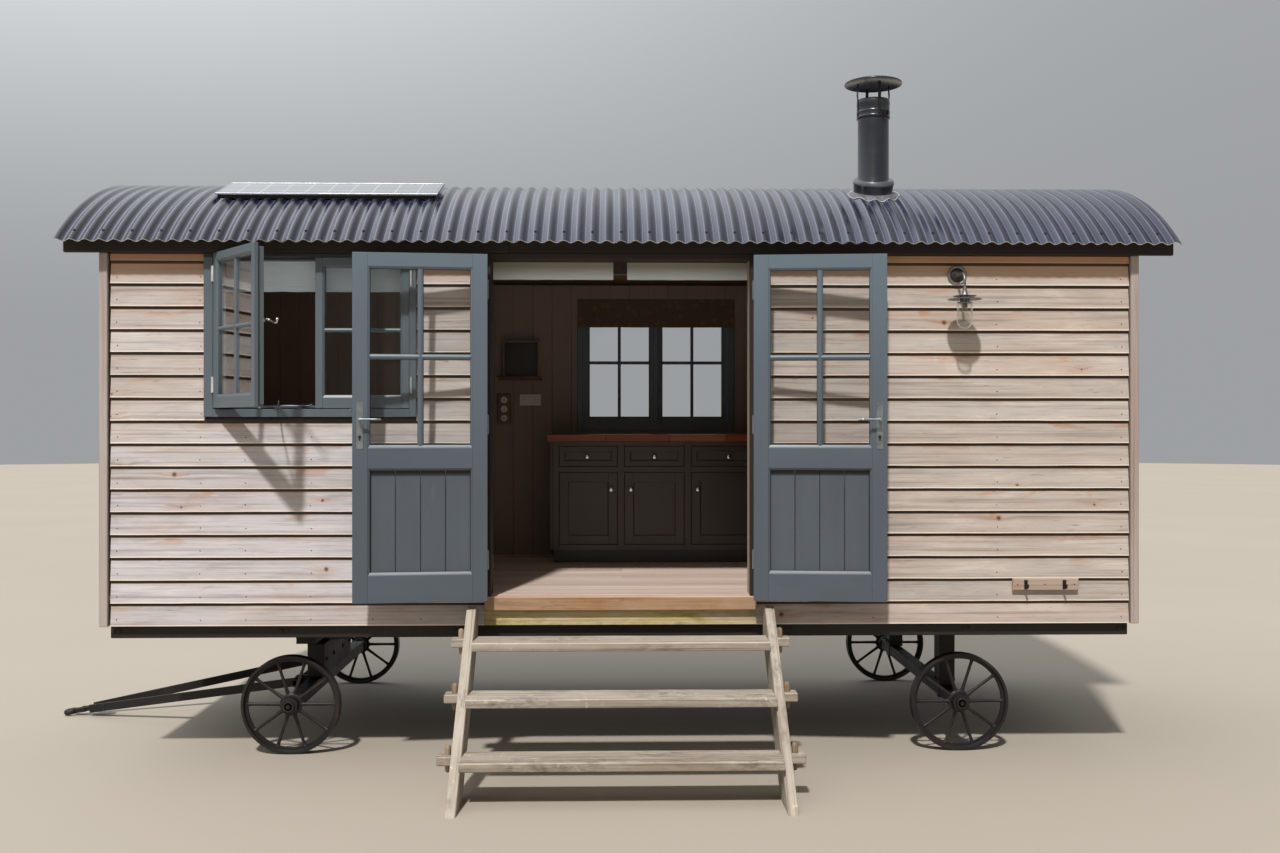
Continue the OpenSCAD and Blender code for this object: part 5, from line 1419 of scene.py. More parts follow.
# ----------------------------------------------------------- small helpers
def inset(poly, c):
    P_ = np.asarray(poly, float)
    n = len(P_)
    area = sum(P_[i][0] * P_[(i + 1) % n][1] - P_[(i + 1) % n][0] * P_[i][1] for i in range(n))
    s = 1 if area > 0 else -1
    out = []
    for i in range(n):
        a, b, d = P_[i - 1], P_[i], P_[(i + 1) % n]
        e1, e2 = (b - a) / (np.linalg.norm(b - a) + 1e-12), (d - b) / (np.linalg.norm(d - b) + 1e-12)
        n1, n2 = np.array([-e1[1], e1[0]]) * s, np.array([-e2[1], e2[0]]) * s
        m = n1 + n2
        k = m @ m
        m = m * (2 / k) if k > 0.3 else m
        out.append(b + m * c)
    return out


def slab(P, poly, h0, h1, axis, c=0.003, **k):
    """A prism with chamfered outlines on both faces."""
    ax = "xyz".index(axis)
    o = [i for i in range(3) if i != ax]
    Q = np.asarray(poly, float)
    n = len(Q)
    area = 0.5 * sum(Q[i][0] * Q[(i + 1) % n][1] - Q[(i + 1) % n][0] * Q[i][1] for i in range(n))
    if (area < 0) != (axis == "y"):
        Q = Q[::-1]
    I = np.array(inset(Q, c))
    V = np.zeros((4 * n, 3))
    for s, (R_, h) in enumerate(((I, h0), (Q, h0 + c), (Q, h1 - c), (I, h1))):
        V[s * n:(s + 1) * n, o[0]] = R_[:, 0]
        V[s * n:(s + 1) * n, o[1]] = R_[:, 1]
        V[s * n:(s + 1) * n, ax] = h
    F = [list(range(n))[::-1], list(range(3 * n, 4 * n))]
    for s in range(3):
        F += [[s * n + i, s * n + (i + 1) % n, (s + 1) * n + (i + 1) % n, (s + 1) * n + i] for i in range(n)]
    return P.add(V, F, **k)


def hexhead(P, p, n, r=0.010, h=0.007, mat=0, washer=True):
    p, n = np.asarray(p, float), np.asarray(n, float)
    if washer:
        P.cyl(p, p + n * 0.0022, r * 1.45, seg=20, c=0.0005, mat=mat)
    P.cyl(p + n * 0.002, p + n * (h + 0.002), r, seg=6, c=0.0012, mat=mat)


# ---------------------------------------------------------------- kitchen
KX = [-0.455, -0.004, 0.441, 0.987]
P = Piece(M["kitchen"])
P.box((-0.475, 1.571, 0.980), (-0.455, 2.1295, 1.6995), c=0.001, grain="z")
P.box((0.987, 1.571, 0.980), (1.007, 2.1295, 1.6995), c=0.001, grain="z")
P.box((-0.4548, 1.5705, 0.9802), (0.9868, 2.128, 1.6990), c=0.001)
P.box((-0.455, 1.620, 0.8902), (0.987, 2.129, 0.9798), c=0.001)
P.make("kitchen_carcass", "hut", ["kitchen_units"])

P = Piece(M["kitchen"], M["chrome"])
yf, yb = 1.5502, 1.5702
stiles = [(-0.455, -0.418), (-0.024, 0.016), (0.421, 0.461), (0.950, 0.987)]
for a, b in stiles:
    P.box((a, yf, 0.9803), (b, yb, 1.6993), c=0.0010, grain="z")
for (a, b), (c_, d_) in zip(stiles, stiles[1:]):
    for p, q in ((0.9803, 1.0120), (1.4980, 1.5310), (1.6730, 1.6993)):
        P.box((b + 0.0001, yf + 0.0001, p), (c_ - 0.0001, yb, q), c=0.0008)
    for z0, z1, door in ((1.5310, 1.6730, False), (1.0120, 1.4980, True)):
        # bead round the opening, then the inset front
        P.ring(b + 0.0045, c_ - 0.0045, z0 + 0.0045, z1 - 0.0045,
               [(0.0, yf + 0.0030), (0.0008, yf + 0.0006), (0.0022, yf - 0.0006), (0.0038, yf - 0.0006), (0.0046, yf + 0.0008), (0.0046, yb), (0.0, yb)])
        x0, x1, zz0, zz1 = b + 0.0062, c_ - 0.0062, z0 + 0.0062, z1 - 0.0062
        w = 0.056 if door else 0.034
        for p, q in ((x0, x0 + w), (x1 - w, x1)):
            P.box((p, yf + 0.0006, zz0), (q, yb, zz1), c=0.0010, grain="z")
        for p, q in ((zz0, zz0 + w), (zz1 - w, zz1)):
            P.box((x0 + w + 0.0001, yf + 0.0007, p), (x1 - w - 0.0001, yb, q), c=0.0008)
        P.ring(x0 + w + 0.007, x1 - w - 0.007, zz0 + w + 0.007, zz1 - w - 0.007,
               [(0.0, yf + 0.0082), (0.0022, yf + 0.0052), (0.0055, yf + 0.0042), (0.0071, yf + 0.0012), (0.0071, yb - 0.001), (0.0, yb - 0.001)])
        P.box((x0 + w, yf + 0.0088, zz0 + w), (x1 - w, yb - 0.002, zz1 - w), c=0.0003, grain="z")
KNOB = [(0.0095, 0.0), (0.0095, 0.0012), (0.0062, 0.0024), (0.0048, 0.006), (0.0048, 0.0105), (0.0075, 0.0130), (0.0120, 0.0148),
        (0.0148, 0.0172), (0.0150, 0.0188), (0.0138, 0.0212), (0.0105, 0.0230), (0.0055, 0.0238), (0.0, 0.0240)]
for i in range(3):
    x0, x1 = KX[i] + 0.002, KX[i + 1] - 0.002
    for x, z in (((x0 + x1) / 2, 1.599), (x1 - 0.064 if i == 0 else x0 + 0.064, 1.382)):
        P.lathe(KNOB, 24, M=place(x, yf + 0.0002, z, rx=90), mat=1)
P.make("kitchen_fronts_framed", "hut", ["kitchen_fronts"])

P = Piece(M["worktop"])
y = 1.530
while y < 2.128:
    e = min(y + 0.0400, 2.130)
    xs, x = [-0.492], -0.492
    while x < 1.012:
        x += rnd.uniform(0.35, 0.8)
        xs.append(min(x, 1.012))
        if xs[-1] >= 1.012:
            break
    if len(xs) > 2 and xs[-1] - xs[-2] < 0.15:
        xs.pop(-2)
    for a, b in zip(xs, xs[1:]):
        front = y == 1.530
        P.box((a, y, 1.7002), (b, e, 1.7470), c=0.0026 if front else 0.0004)
    y = e
P.make("kitchen_worktop_staves", "hut", ["kitchen_worktop"])


# ----------------------------------------------------------------- blinds
def folded_blind(name, mat, x0, x1, z_top, z_head, z_low, y_front, y_back, drop, s=1, seed=5):
    """A roman blind drawn up: one sheet that hangs from its head in pleats."""
    layers = max(3, int(round((drop - (z_top - z_head)) / (z_head - z_low))))
    layers += (layers + 1) % 2          # odd, so that the hem ends at the bottom
    reach = (drop - (z_top - z_head)) / layers
    pts = [(0.0, z_top - 0.0005), (0.0, (z_top + z_head) / 2)]
    step = (y_back - y_front) / (layers - 1) * s if layers > 1 else 0.0
    r = abs(y_back - y_front) / (layers - 1) / 2 * 0.92
    d = 0.0
    for i in range(layers):
        up = i % 2 == 1
        lowz = z_head - reach + r + 0.0016 * (i // 2)
        topz = z_head - r - 0.001
        a, b = (lowz, topz) if up else (topz, lowz)
        if i == 0:
            a = z_head
        for q in (np.linspace(0, 1, 6) if i else np.linspace(0.1, 1, 6)):
            bulge = math.sin(math.pi * q) * r * 0.25
            pts.append((d + bulge, a + (b - a) * q))
        if i < layers - 1:
            cz, sg = b, (1 if up else -1)
            for ang in (30, 60, 90, 120, 150):
                pts.append((d + (abs(y_back - y_front) / (layers - 1)) * (1 - math.cos(rad(ang))) / 2, cz + sg * r * math.sin(rad(ang))))
        d += abs(y_back - y_front) / (layers - 1)
    pts = np.array(pts)
    seg = np.concatenate([[0], np.cumsum(np.linalg.norm(np.diff(pts, axis=0), axis=1))])
    nx = int((x1 - x0) / 0.018)
    w1, w2, w3 = wob(seed, 0.0011, 0.22), wob(seed + 3, 0.0018, 0.35), wob(seed + 9, 0.0009, 0.08)
    V, W = [], []
    gapy = abs(y_back - y_front) / (layers - 1)
    for j in range(nx + 1):
        x = x0 + (x1 - x0) * j / nx
        for (dd, z), l in zip(pts, seg):
            low = max(0.0, min(1.0, (z_head - z) / (z_head - z_low)))
            V.append((x, y_front + s * (0.0016 + min(dd, abs(y_back - y_front) - 0.002) * 0.94 + low * (w1(x) + w3(x)) * min(1.0, gapy / 0.002 + 0.4) * 0.6), z + low * (w2(x) * 0.6) + 0.0012 * low))
            W.append((x - x0, l, 0.0))
    n = len(pts)
    F = [[j * n + i, j * n + i + 1, (j + 1) * n + i + 1, (j + 1) * n + i] for j in range(nx) for i in range(n - 1)]
    if s < 0:
        F = [f[::-1] for f in F]
    P = Piece(mat)
    P.add(V, F, wc=np.array(W))
    ob = P.make(name, "hut", smooth=75)
    return ob, float(seg[-1])


P = Piece(M["fit_wood"], M["steel"], M["dark"], M["nail"])
for a, b in ((-0.719, -0.057), (0.020, 0.684)):
    P.box((a, 0.1215, 2.7125), (b, 0.1445, 2.7445), c=0.0015)
# dark block and keep plate between the blinds
P.box((-0.056, 0.1205, 2.640), (0.019, 0.140, 2.745), c=0.002, mat=2, grain="z")
P.box((-0.034, 0.1185, 2.655), (-0.006, 0.1207, 2.700), c=0.0006, mat=3)
P.make("door_blind_rails", "hut")
lengths = {}
for nm, a, b, sd in (("door_blind_left", -0.719, -0.057, 11), ("door_blind_right", 0.020, 0.684, 23)):
    ob, lengths[nm] = folded_blind(nm, M["cream"], a, b, 2.745, 2.7115, 2.6005, 0.1203, 0.1455, 1.85, 1, sd)
    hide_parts("door_blinds")

P = Piece(M["fit_wood"])
P.box((-2.197, 0.0985, 2.7080), (-1.162, 0.1165, 2.7275), c=0.0015)
P.make("front_blind_rail", "hut")
ob, lengths["front"] = folded_blind("front_window_blind", M["blue"], -2.198, -1.161, 2.7278, 2.7070, 2.5405, 0.1172, 0.0978, 0.89, -1, 31)
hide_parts("front_blind")
P = Piece(M["fit_wood"])
P.box((-0.307, 2.1330, 2.6880), (0.807, 2.1490, 2.7075), c=0.0015)
P.make("back_blind_rail", "hut")
ob, lengths["back"] = folded_blind("back_window_blind", M["print"], -0.308, 0.808, 2.7078, 2.6870, 2.5005, 2.1313, 2.1492, 0.94, 1, 47)
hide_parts("back_blind")

# --------------------------------------------------------------- fittings
P = Piece(M["fit_wood"], M["kitchen"], M["brass"], M["white"], M["sill"], M["rubber"], M["lining"])
YF, YB = 2.060, 2.1298
P.ring(-0.822, -0.586, 2.157, 2.397, [(0.0, YF + 0.002), (0.002, YF), (0.0068, YF), (0.008, YF + 0.0012), (0.008, YB), (0.0, YB)], mat=6)
P.box((-0.8225, YB - 0.008, 2.1565), (-0.5855, YB, 2.3975), c=0.0004, mat=1)
P.box((-0.8660, 2.0402, 2.1283), (-0.5600, YB, 2.1486), c=0.0018, mat=0)
# switch plate with three round switches
slab(P, [(-0.876, 1.818), (-0.778, 1.818), (-0.778, 2.030), (-0.876, 2.030)], 2.1102, 2.1297, "y", c=0.005, mat=0, grain="z")
for z in (1.860, 1.924, 1.988):
    P.lathe([(0.023, 0), (0.023, 0.003), (0.020, 0.0055), (0.015, 0.0062), (0.0135, 0.0048), (0.0, 0.0048)], 28, M=place(-0.827, 2.1105, z, rx=90), mat=3)
    P.tube([(-0.827, 2.107, z), (-0.827, 2.1015, z - 0.0015), (-0.827, 2.0985, z - 0.004)], [0.0042, 0.0036, 0.0040], seg=12, mat=2)
slab(P, [(-0.717, 1.949), (-0.568, 1.949), (-0.568, 2.030), (-0.717, 2.030)], 2.1200, 2.1297, "y", c=0.0022, mat=3)
for x in (-0.682, -0.603):
    P.box((x - 0.0016, 2.1196, 2.006), (x + 0.0016, 2.1203, 2.014), c=0.0002, mat=5)
    for dx in (-0.011, 0.011):
        P.box((x + dx - 0.0032, 2.1196, 1.9895), (x + dx + 0.0032, 2.1203, 1.9930), c=0.0002, mat=5)
for x in (-0.655, -0.630):
    P.box((x - 0.0058, 2.1178, 2.004), (x + 0.0058, 2.1203, 2.022), c=0.0010, mat=3)
P.make("wall_fittings_made", "hut", ["wall_fittings"])

# ------------------------------------------------------------------ steps
SCX = -0.0165
ylo, stw, sdx, sdz, send = -0.987, 0.190, 0.887, 0.840, 0.070
slen = math.hypot(sdx, sdz)
sc, ss = sdx / slen, sdz / slen
oz_ = sdz - send
oy_ = (send + oz_ * sc) / ss + ylo
zb_ = (-0.002 - (ylo + stw / ss)) * ss / sc
outline = [(ylo, 0.0), (ylo + stw / ss, 0.0), (oy_ + send, zb_), (oy_ + send, oz_)]
for q in range(1, 12):
    a_ = rad(0 + (90 + math.degrees(math.atan2(sdx, sdz)) * 0) * q / 12)
    outline.append((oy_ + send * math.cos(a_ * 1.5), oz_ + send * math.sin(a_ * 1.5)))
outline.append((oy_ - send * ss, oz_ + send * sc))
P = Piece(M["steps"])
for s in (-1, 1):
    xa = SCX + s * 0.793 - 0.025
    Q = np.array(outline)
    keep = len(P.V)
    # grain runs up the slope
    slab(P, outline, xa, xa + 0.050, "x", c=0.0035, wc=None, grain="x")
    V = P.V[-1]
    P.wc[-1] = np.stack([V[:, 1] * sc + V[:, 2] * ss, -V[:, 1] * ss + V[:, 2] * sc, V[:, 0]], 1) + np.array([rnd.uniform(-30, 30) for _ in range(3)])
P.make("step_sides", "hut", ["step_stringers"])

TZ, TY = (0.690, 0.460, 0.220), (-0.328, -0.600, -0.868)
P = Piece(M["steps"], M["nail"])
for tz, ty in zip(TZ, TY):
    x0, x1 = SCX - 0.768, SCX + 0.768
    n = 18
    w1, w2, w3 = wob(int(tz * 1000), 0.0022, 0.5), wob(int(tz * 900), 0.0016, 0.4), wob(int(tz * 800), 0.0022, 0.3)
    prof = []
    top = tz - 0.0004
    ring = [(0.0, 0.0090), (0.0, 0.0040), (0.0014, 0.0012), (0.0042, 0.0), (0.0140, 0.0)]
    base = [(y_, -z_) for y_, z_ in ring]
    base += [(0.060, -0.0012), (0.110, -0.0022), (0.160, -0.0012)]
    base += [(0.220 - y_, -z_) for y_, z_ in ring[::-1]]
    base += [(0.220, -0.040), (0.217, -0.044), (0.215, -0.045), (0.005, -0.045), (0.002, -0.0435), (0.0, -0.040)]
    V, W, A = [], [], []
    o_ = np.array([rnd.uniform(-30, 30) for _ in range(3)])
    for j in range(n + 1):
        x = x0 + (x1 - x0) * j / n
        for (dy, dz_) in base:
            fy = (0.0006 + abs(w1(x))) if dy < 0.05 else -abs(w2(x)) - 0.0004 if dy > 0.17 else 0.0
            sag = -abs(w3(x)) * 0.5 if dz_ > -0.02 else 0.0
            V.append((x, ty + dy + fy, top + dz_ + sag))
            W.append((x + o_[0], dy + o_[1], dz_ + o_[2]))
            A.append(1.0 if dy < 0.003 and -0.005 < dz_ < -0.0005 else 0.3)
    m_ = len(base)
    F = [list(range(m_)), list(range(n * m_, (n + 1) * m_))[::-1]]
    for j in range(n):
        for i in range(m_):
            F.append([j * m_ + i, (j + 1) * m_ + i, (j + 1) * m_ + (i + 1) % m_, j * m_ + (i + 1) % m_])
    P.add(V, F, wc=np.array(W), ac=A)
    for s in (-1, 1):
        a, b = (SCX - 0.888, SCX - 0.766) if s < 0 else (SCX + 0.766, SCX + 0.888)
        P.box((a, ty + 0.1155, tz - 0.0445), (b, ty + 0.2045, tz - 0.0008), c=0.0045)
P.make("step_boards", "hut", ["step_treads"])

P = Piece(M["pegs"])
for tz, ty in zip(TZ, TY):
    for s in (-1, 1):
        x, y, z0, h = SCX + s * 0.837, ty + 0.160, tz - 0.085, 0.135
        prof = [(0.006, 0), (0.0115, 0.003), (0.0140, 0.010), (0.0152, h * 0.4), (0.0158, h - 0.022), (0.0150, h - 0.010), (0.0115, h - 0.0035), (0.005, h - 0.0008), (0.0, h)]
        lean = place(x, y, z0, rx=rnd.uniform(-1.0, 1.0), ry=rnd.uniform(-1.0, 1.0), rz=rnd.uniform(0, 90))
        n0 = len(P.V)
        P.lathe(prof, 11, M=lean, grain="z")
        P.wc[n0] = P.wc[n0]
P.make("peg_turnings", "hut", ["step_pegs"])

# ------------------------------------------------------------- wall lamp
LX, LY, LZ = 1.810, -0.150, 2.621
P = Piece(M["galv"], M["brass"], M["rubber"], M["nail"])
P.lathe([(0.052, 0), (0.052, 0.0035), (0.0500, 0.0055), (0.0455, 0.0062), (0.0440, 0.0052), (0.0405, 0.0052), (0.0385, 0.0053), (0.0, 0.0054)], 40, M=place(LX, -0.0003, LZ, rx=90))
P.lathe([(0.0, 0.0040), (0.0392, 0.0042), (0.0385, 0.0075), (0.0320, 0.0115), (0.0220, 0.0146), (0.0120, 0.0158), (0.0, 0.016)], 40, M=place(LX, -0.0003, LZ, rx=90), mat=3)
for s in (-1, 1):
    P.cyl((LX + s * 0.0425, -0.0052, LZ), (LX + s * 0.0425, -0.0068, LZ), 0.0032, seg=12, c=0.0004)
pts = [(LX, -0.010, LZ), (LX, -0.050, LZ), (LX, -0.098, LZ)] + [(LX, -0.100 - 0.05 * math.sin(rad(a)), LZ - 0.05 + 0.05 * math.cos(rad(a))) for a in (10, 25, 40, 55, 70, 82, 90)]
pts += [(LX, LY, 2.545), (LX, LY, 2.521)]
P.tube(pts, 0.0068, seg=18, up=(1, 0, 0))
P.cyl((LX, -0.014, LZ), (LX, -0.024, LZ), 0.0112, 0.0088, seg=20, c=0.0010)
P.cyl((LX, LY, 2.540), (LX, LY, 2.520), 0.0095, 0.0115, seg=20, c=0.0010)
# small flat cap on a neck, over the thin flat shade
P.lathe([(0.0116, 2.5240), (0.0128, 2.5180), (0.0150, 2.5040), (0.0200, 2.4985), (0.0420, 2.4962), (0.0600, 2.4938), (0.0612, 2.4930),
         (0.0606, 2.4922), (0.0430, 2.4940), (0.0250, 2.4950), (0.0200, 2.4930), (0.0196, 2.4850), (0.0120, 2.4850)][::-1], 40, M=place(LX, LY, 0), closed=True)
P.lathe([(0.0194, 2.4862), (0.0240, 2.4850), (0.0600, 2.4826), (0.0820, 2.4790), (0.0885, 2.4768), (0.0900, 2.4756), (0.0890, 2.4748), (0.0815, 2.4772),
         (0.0600, 2.4806), (0.0240, 2.4830), (0.0194, 2.4838)][::-1], 48, M=place(LX, LY, 0), closed=True)
for a in range(0, 360, 45):
    P.box((0.0225, -0.0028, 2.4660), (0.0252, 0.0028, 2.4780), c=0.0004, mat=2, M=place(LX, LY, 0, rz=a))
P.lathe([(0.0, 2.4560), (0.0380, 2.4552), (0.0398, 2.4562), (0.0400, 2.4600), (0.0392, 2.4612), (0.0255, 2.4622), (0.0240, 2.4640), (0.0240, 2.4842), (0.0, 2.4846)],
        40, M=place(LX, LY, 0))
P.lathe([(0.0, 2.4300), (0.0120, 2.4302), (0.0140, 2.4330), (0.0140, 2.4550), (0.0, 2.4556)], 24, M=place(LX, LY, 0), mat=1)
P.make("lamp_metalwork", "hut", ["wall_lamp"])
P = Piece(M["jar"], M["jar_bulb"])
out, inn = [], []
for a in range(0, 91, 9):
    out.append((0.041 * math.sin(rad(a)), 2.359 - 0.041 * math.cos(rad(a))))
    inn.append((0.0385 * math.sin(rad(a)), 2.359 - 0.0385 * math.cos(rad(a))))
out += [(0.041, 2.400), (0.041, 2.4425), (0.0408, 2.4440), (0.0385, 2.4455), (0.0385, 2.4540)]
inn += [(0.0385, 2.400), (0.0385, 2.4415), (0.0362, 2.4450), (0.0362, 2.4540)]
prof = out + inn[::-1]
P.lathe(prof, 40, M=place(LX, LY, 0))
P.make("lamp_glass", "hut", ["lamp_jar"])
P = Piece(M["jar_bulb"], M["brass"])
P.lathe([(0.0, 2.3620), (0.0080, 2.3635), (0.0150, 2.3680), (0.0195, 2.3760), (0.0208, 2.3860), (0.0190, 2.3970), (0.0150, 2.4090), (0.0125, 2.4190), (0.0120, 2.4300), (0.0, 2.4300)], 28, M=place(LX, LY, 0))
P.make("lamp_bulb", "hut")

# --------------------------------------------------------------- hook rail
P = Piece(M["rail"], M["iron"], M["nail"])
slab(P, [(2.110, 0.911), (2.470, 0.911), (2.470, 0.976), (2.110, 0.976)], -0.0198, -0.0002, "y", c=0.004)
for x in (2.180, 2.390):
    slab(P, [(x - 0.009, 0.920), (x - 0.006, 0.918), (x + 0.006, 0.918), (x + 0.009, 0.920), (x + 0.009, 0.966), (x + 0.006, 0.968), (x - 0.006, 0.968), (x - 0.009, 0.966)],
         -0.0250, -0.0195, "y", c=0.0012, mat=1)
    P.tube([(x, -0.0240, 0.9270), (x, -0.0380, 0.9262), (x, -0.0500, 0.9272), (x, -0.0570, 0.9320), (x, -0.0582, 0.9400), (x, -0.0560, 0.9475)],
           [0.0050, 0.0050, 0.0048, 0.0046, 0.0046, 0.0052], seg=12, mat=1, up=(1, 0, 0))
    P.tube([(x, -0.0240, 0.9600), (x, -0.0350, 0.9592), (x, -0.0430, 0.9600), (x, -0.0470, 0.9630)], [0.0046, 0.0044, 0.0042, 0.0050], seg=12, mat=1, up=(1, 0, 0))
    for z in (0.9235, 0.9640):
        P.cyl((x, -0.0248, z), (x, -0.0264, z), 0.0030, seg=10, c=0.0004, mat=2)
for x in (2.135, 2.285, 2.445):
    P.cyl((x, -0.0196, 0.9435), (x, -0.0206, 0.9435), 0.0036, seg=12, c=0.0004, mat=2)
P.make("hook_rail_made", "hut", ["hook_rail"])


# ------------------------------------------------------------------ wheels
def wheel_mesh(P):
    """Cast wheel, axis on z."""
    prof = [(0.2700, -0.0290), (0.2700, 0.0290), (0.2690, 0.0300), (0.2555, 0.0300), (0.2545, 0.0290), (0.2540, 0.0110), (0.2520, 0.0088),
            (0.2385, 0.0084), (0.2365, 0.0062), (0.2360, 0.0), (0.2365, -0.0062), (0.2385, -0.0084), (0.2520, -0.0088), (0.2540, -0.0110),
            (0.2545, -0.0290), (0.2555, -0.0300), (0.2690, -0.0300)]
    P.lathe(prof, 72, closed=True)
    prof = [(0.0221, -0.0550), (0.0400, -0.0550), (0.0440, -0.0540), (0.0460, -0.0510), (0.0460, -0.0200), (0.0490, -0.0120), (0.0600, -0.0088), (0.0620, -0.0070),
            (0.0620, 0.0070), (0.0600, 0.0088), (0.0490, 0.0120), (0.0460, 0.0200), (0.0460, 0.0510), (0.0440, 0.0540), (0.0400, 0.0550), (0.0221, 0.0550)]
    P.lathe(prof, 40, closed=True)
    for i in range(10):
        m = place(rz=36 * i)
        pts = [(0.046, 0, 0), (0.060, 0, 0), (0.080, 0, 0), (0.150, 0, 0), (0.215, 0, 0), (0.234, 0, 0), (0.243, 0, 0)]
        P.tube(pts, [0.0150, 0.0120, 0.0100, 0.0088, 0.0088, 0.0105, 0.0150], seg=12, flat=0.84, M=m)


for nm, x, y in (("wheel_front_near", -1.830, 0.180), ("wheel_front_far", -1.830, 2.070), ("wheel_rear_near", 1.870, 0.180), ("wheel_rear_far", 1.870, 2.070)):
    P = Piece(M["iron"])
    P.M = place(x, y, 0.270, rx=90)
    wheel_mesh(P)
    P.make(nm + "_casting", nm, [nm], smooth=40)


def axle_mesh(P, x):
    P.box((x - 0.035, 0.243, 0.235), (x + 0.035, 2.007, 0.305), c=0.004)
    for s, a in ((-1, 0.108), (1, 2.142)):
        b = 0.243 if s < 0 else 2.007
        P.cyl((x, a, 0.270), (x, b, 0.270), 0.0218, seg=28, c=0.001)
        e = 0.120 if s < 0 else 2.130
        P.cyl((x, a, 0.270), (x, e, 0.270), 0.032, seg=32, c=0.002)
        P.cyl((x, a + s * 0.0045, 0.270), (x, a, 0.270), 0.013, seg=6, c=0.001)
        P.cyl((x, 0.5 * (a + e), 0.236), (x, 0.5 * (a + e), 0.306), 0.003, seg=10, c=0.0008)


P = Piece(M["iron"], M["chassis"], M["nail"])
axle_mesh(P, 1.870)
for y in (0.420, 1.710):
    slab(P, [(1.825, 0.3055), (1.915, 0.3055), (1.915, 0.6598), (1.825, 0.6598)], y, y + 0.120, "y", c=0.004, mat=1, grain="z")
    for z in (0.335, 0.63):
        for yy in (y + 0.03, y + 0.09):
            hexhead(P, (1.9148, yy, z), (1, 0, 0), 0.009, 0.006, mat=2)
            hexhead(P, (1.8252, yy, z), (-1, 0, 0), 0.009, 0.006, mat=2)
    # strap under the axle
    P.box((1.829, y + 0.040, 0.2300), (1.911, y + 0.080, 0.2348), c=0.001)
    for xx in (1.8305, 1.9045):
        P.box((xx, y + 0.040, 0.2300), (xx + 0.005, y + 0.080, 0.3060), c=0.001)
P.make("rear_axle_made", "hut", ["rear_axle"])

P = Piece(M["chassis"], M["iron"], M["nail"])
slab(P, [(-1.885, 0.5452), (-1.775, 0.5452), (-1.775, 0.6598), (-1.885, 0.6598)], 0.500, 1.750, "y", c=0.004)
P.lathe([(0.0, 0.5270), (0.2380, 0.5270), (0.2400, 0.5290), (0.2400, 0.5430), (0.2380, 0.5450), (0.0, 0.5450)], 64, M=place(-1.830, YC, 0), mat=1)
P.lathe([(0.0, 0.4000), (0.0180, 0.4000), (0.0198, 0.4030), (0.0198, 0.5400), (0.0, 0.5400)], 28, M=place(-1.830, YC, 0), mat=1)
for yy in (0.56, 0.72, 1.53, 1.69):
    for sx in (-1, 1):
        hexhead(P, (-1.830 + sx * 0.0548, yy, 0.602), (sx, 0, 0), 0.010, 0.007, mat=2)
for a in range(8):
    t = rad(22.5 + 45 * a)
    P.cyl((-1.830 + 0.215 * math.cos(t), YC + 0.215 * math.sin(t), 0.5272), (-1.830 + 0.215 * math.cos(t), YC + 0.215 * math.sin(t), 0.5248), 0.009, seg=6, c=0.001, mat=2)
P.make("front_bolster_made", "hut", ["front_bolster"])

P = Piece(M["iron"], M["chassis"], M["nail"])
axle_mesh(P, -1.830)
P.box((-1.880, 0.745, 0.3055), (-1.780, 1.087, 0.5040), c=0.004, mat=1, grain="y")
P.box((-1.880, 1.163, 0.3055), (-1.780, 1.505, 0.5040), c=0.004, mat=1, grain="y")
for xa, xb in ((-1.880, -1.8515), (-1.8085, -1.780)):
    P.box((xa, 1.0872, 0.3056), (xb, 1.1628, 0.5039), c=0.002, mat=1, grain="y")
P.lathe([(0.0208, 0.5042), (0.2380, 0.5042), (0.2400, 0.5060), (0.2400, 0.5200), (0.2380, 0.5220), (0.0208, 0.5220)], 64, M=place(-1.830, YC, 0), closed=True)
for y in (0.755, 1.465):
    slab(P, [(-1.935, 0.240), (-1.864, 0.240), (-1.864, 0.315), (-1.935, 0.315), (-1.9575, 0.3045), (-1.9640, 0.285), (-1.9575, 0.258)], y, y + 0.030, "y", c=0.003)
    P.cyl((-1.935, y + 0.0005, 0.285), (-1.935, y + 0.0295, 0.285), 0.0300, seg=32, c=0.003)
P.cyl((-1.935, 0.665, 0.285), (-1.935, 1.585, 0.285), 0.0148, seg=24, c=0.001)
for y0, y1 in ((0.665, 0.675), (1.575, 1.585)):
    P.cyl((-1.935, y0, 0.285), (-1.935, y1, 0.285), 0.0238, seg=28, c=0.0015)
for yy in (0.80, 1.00, 1.25, 1.45):
    hexhead(P, (-1.8802, yy, 0.405), (-1, 0, 0), 0.010, 0.007, mat=2)
    hexhead(P, (-1.7798, yy, 0.405), (1, 0, 0), 0.010, 0.007, mat=2)
P.make("front_axle_made", "front_bogie", ["front_axle"])

# ---------------------------------------------------------------- draw bar
DROP = 9.8935
TBAR = place(-1.935, 1.125, 0.285, ry=-DROP)
BAR_L, A0, A1 = 1.525, 0.412, 0.034
AX1 = BAR_L - 0.130
arm_a, arm_len = math.degrees(math.atan2(A0 - A1, AX1)), math.hypot(A0 - A1, AX1)
P = Piece(M["iron"], M["nail"])
for s in (-1, 1):
    T = TBAR @ place(0, s * A0, 0, rz=s * arm_a)
    P.box((-arm_len, -0.0068, -0.0248), (-0.020, 0.0068, 0.0248), c=0.0016, M=T)
    P.M = TBAR
    P.lathe([(0.0152, -0.0180), (0.0262, -0.0180), (0.0280, -0.0162), (0.0280, 0.0162), (0.0262, 0.0180), (0.0152, 0.0180)], 32,
            M=place(0, s * A0, 0, rx=90), closed=True)
    P.M = np.eye(4)
    for q in (0.05, 0.105):
        for zz in (-0.011, 0.011):
            m = T @ place(-arm_len + q, 0, zz)
            P.lathe([(0.0075, 0.0), (0.0070, 0.0030), (0.0045, 0.0050), (0.0, 0.0056)], 16, M=m @ place(0, 0.0067 * s, 0, rx=-90 * s), mat=1)
P.make("draw_bar_arms", "draw_bar", ["draw_bar"])

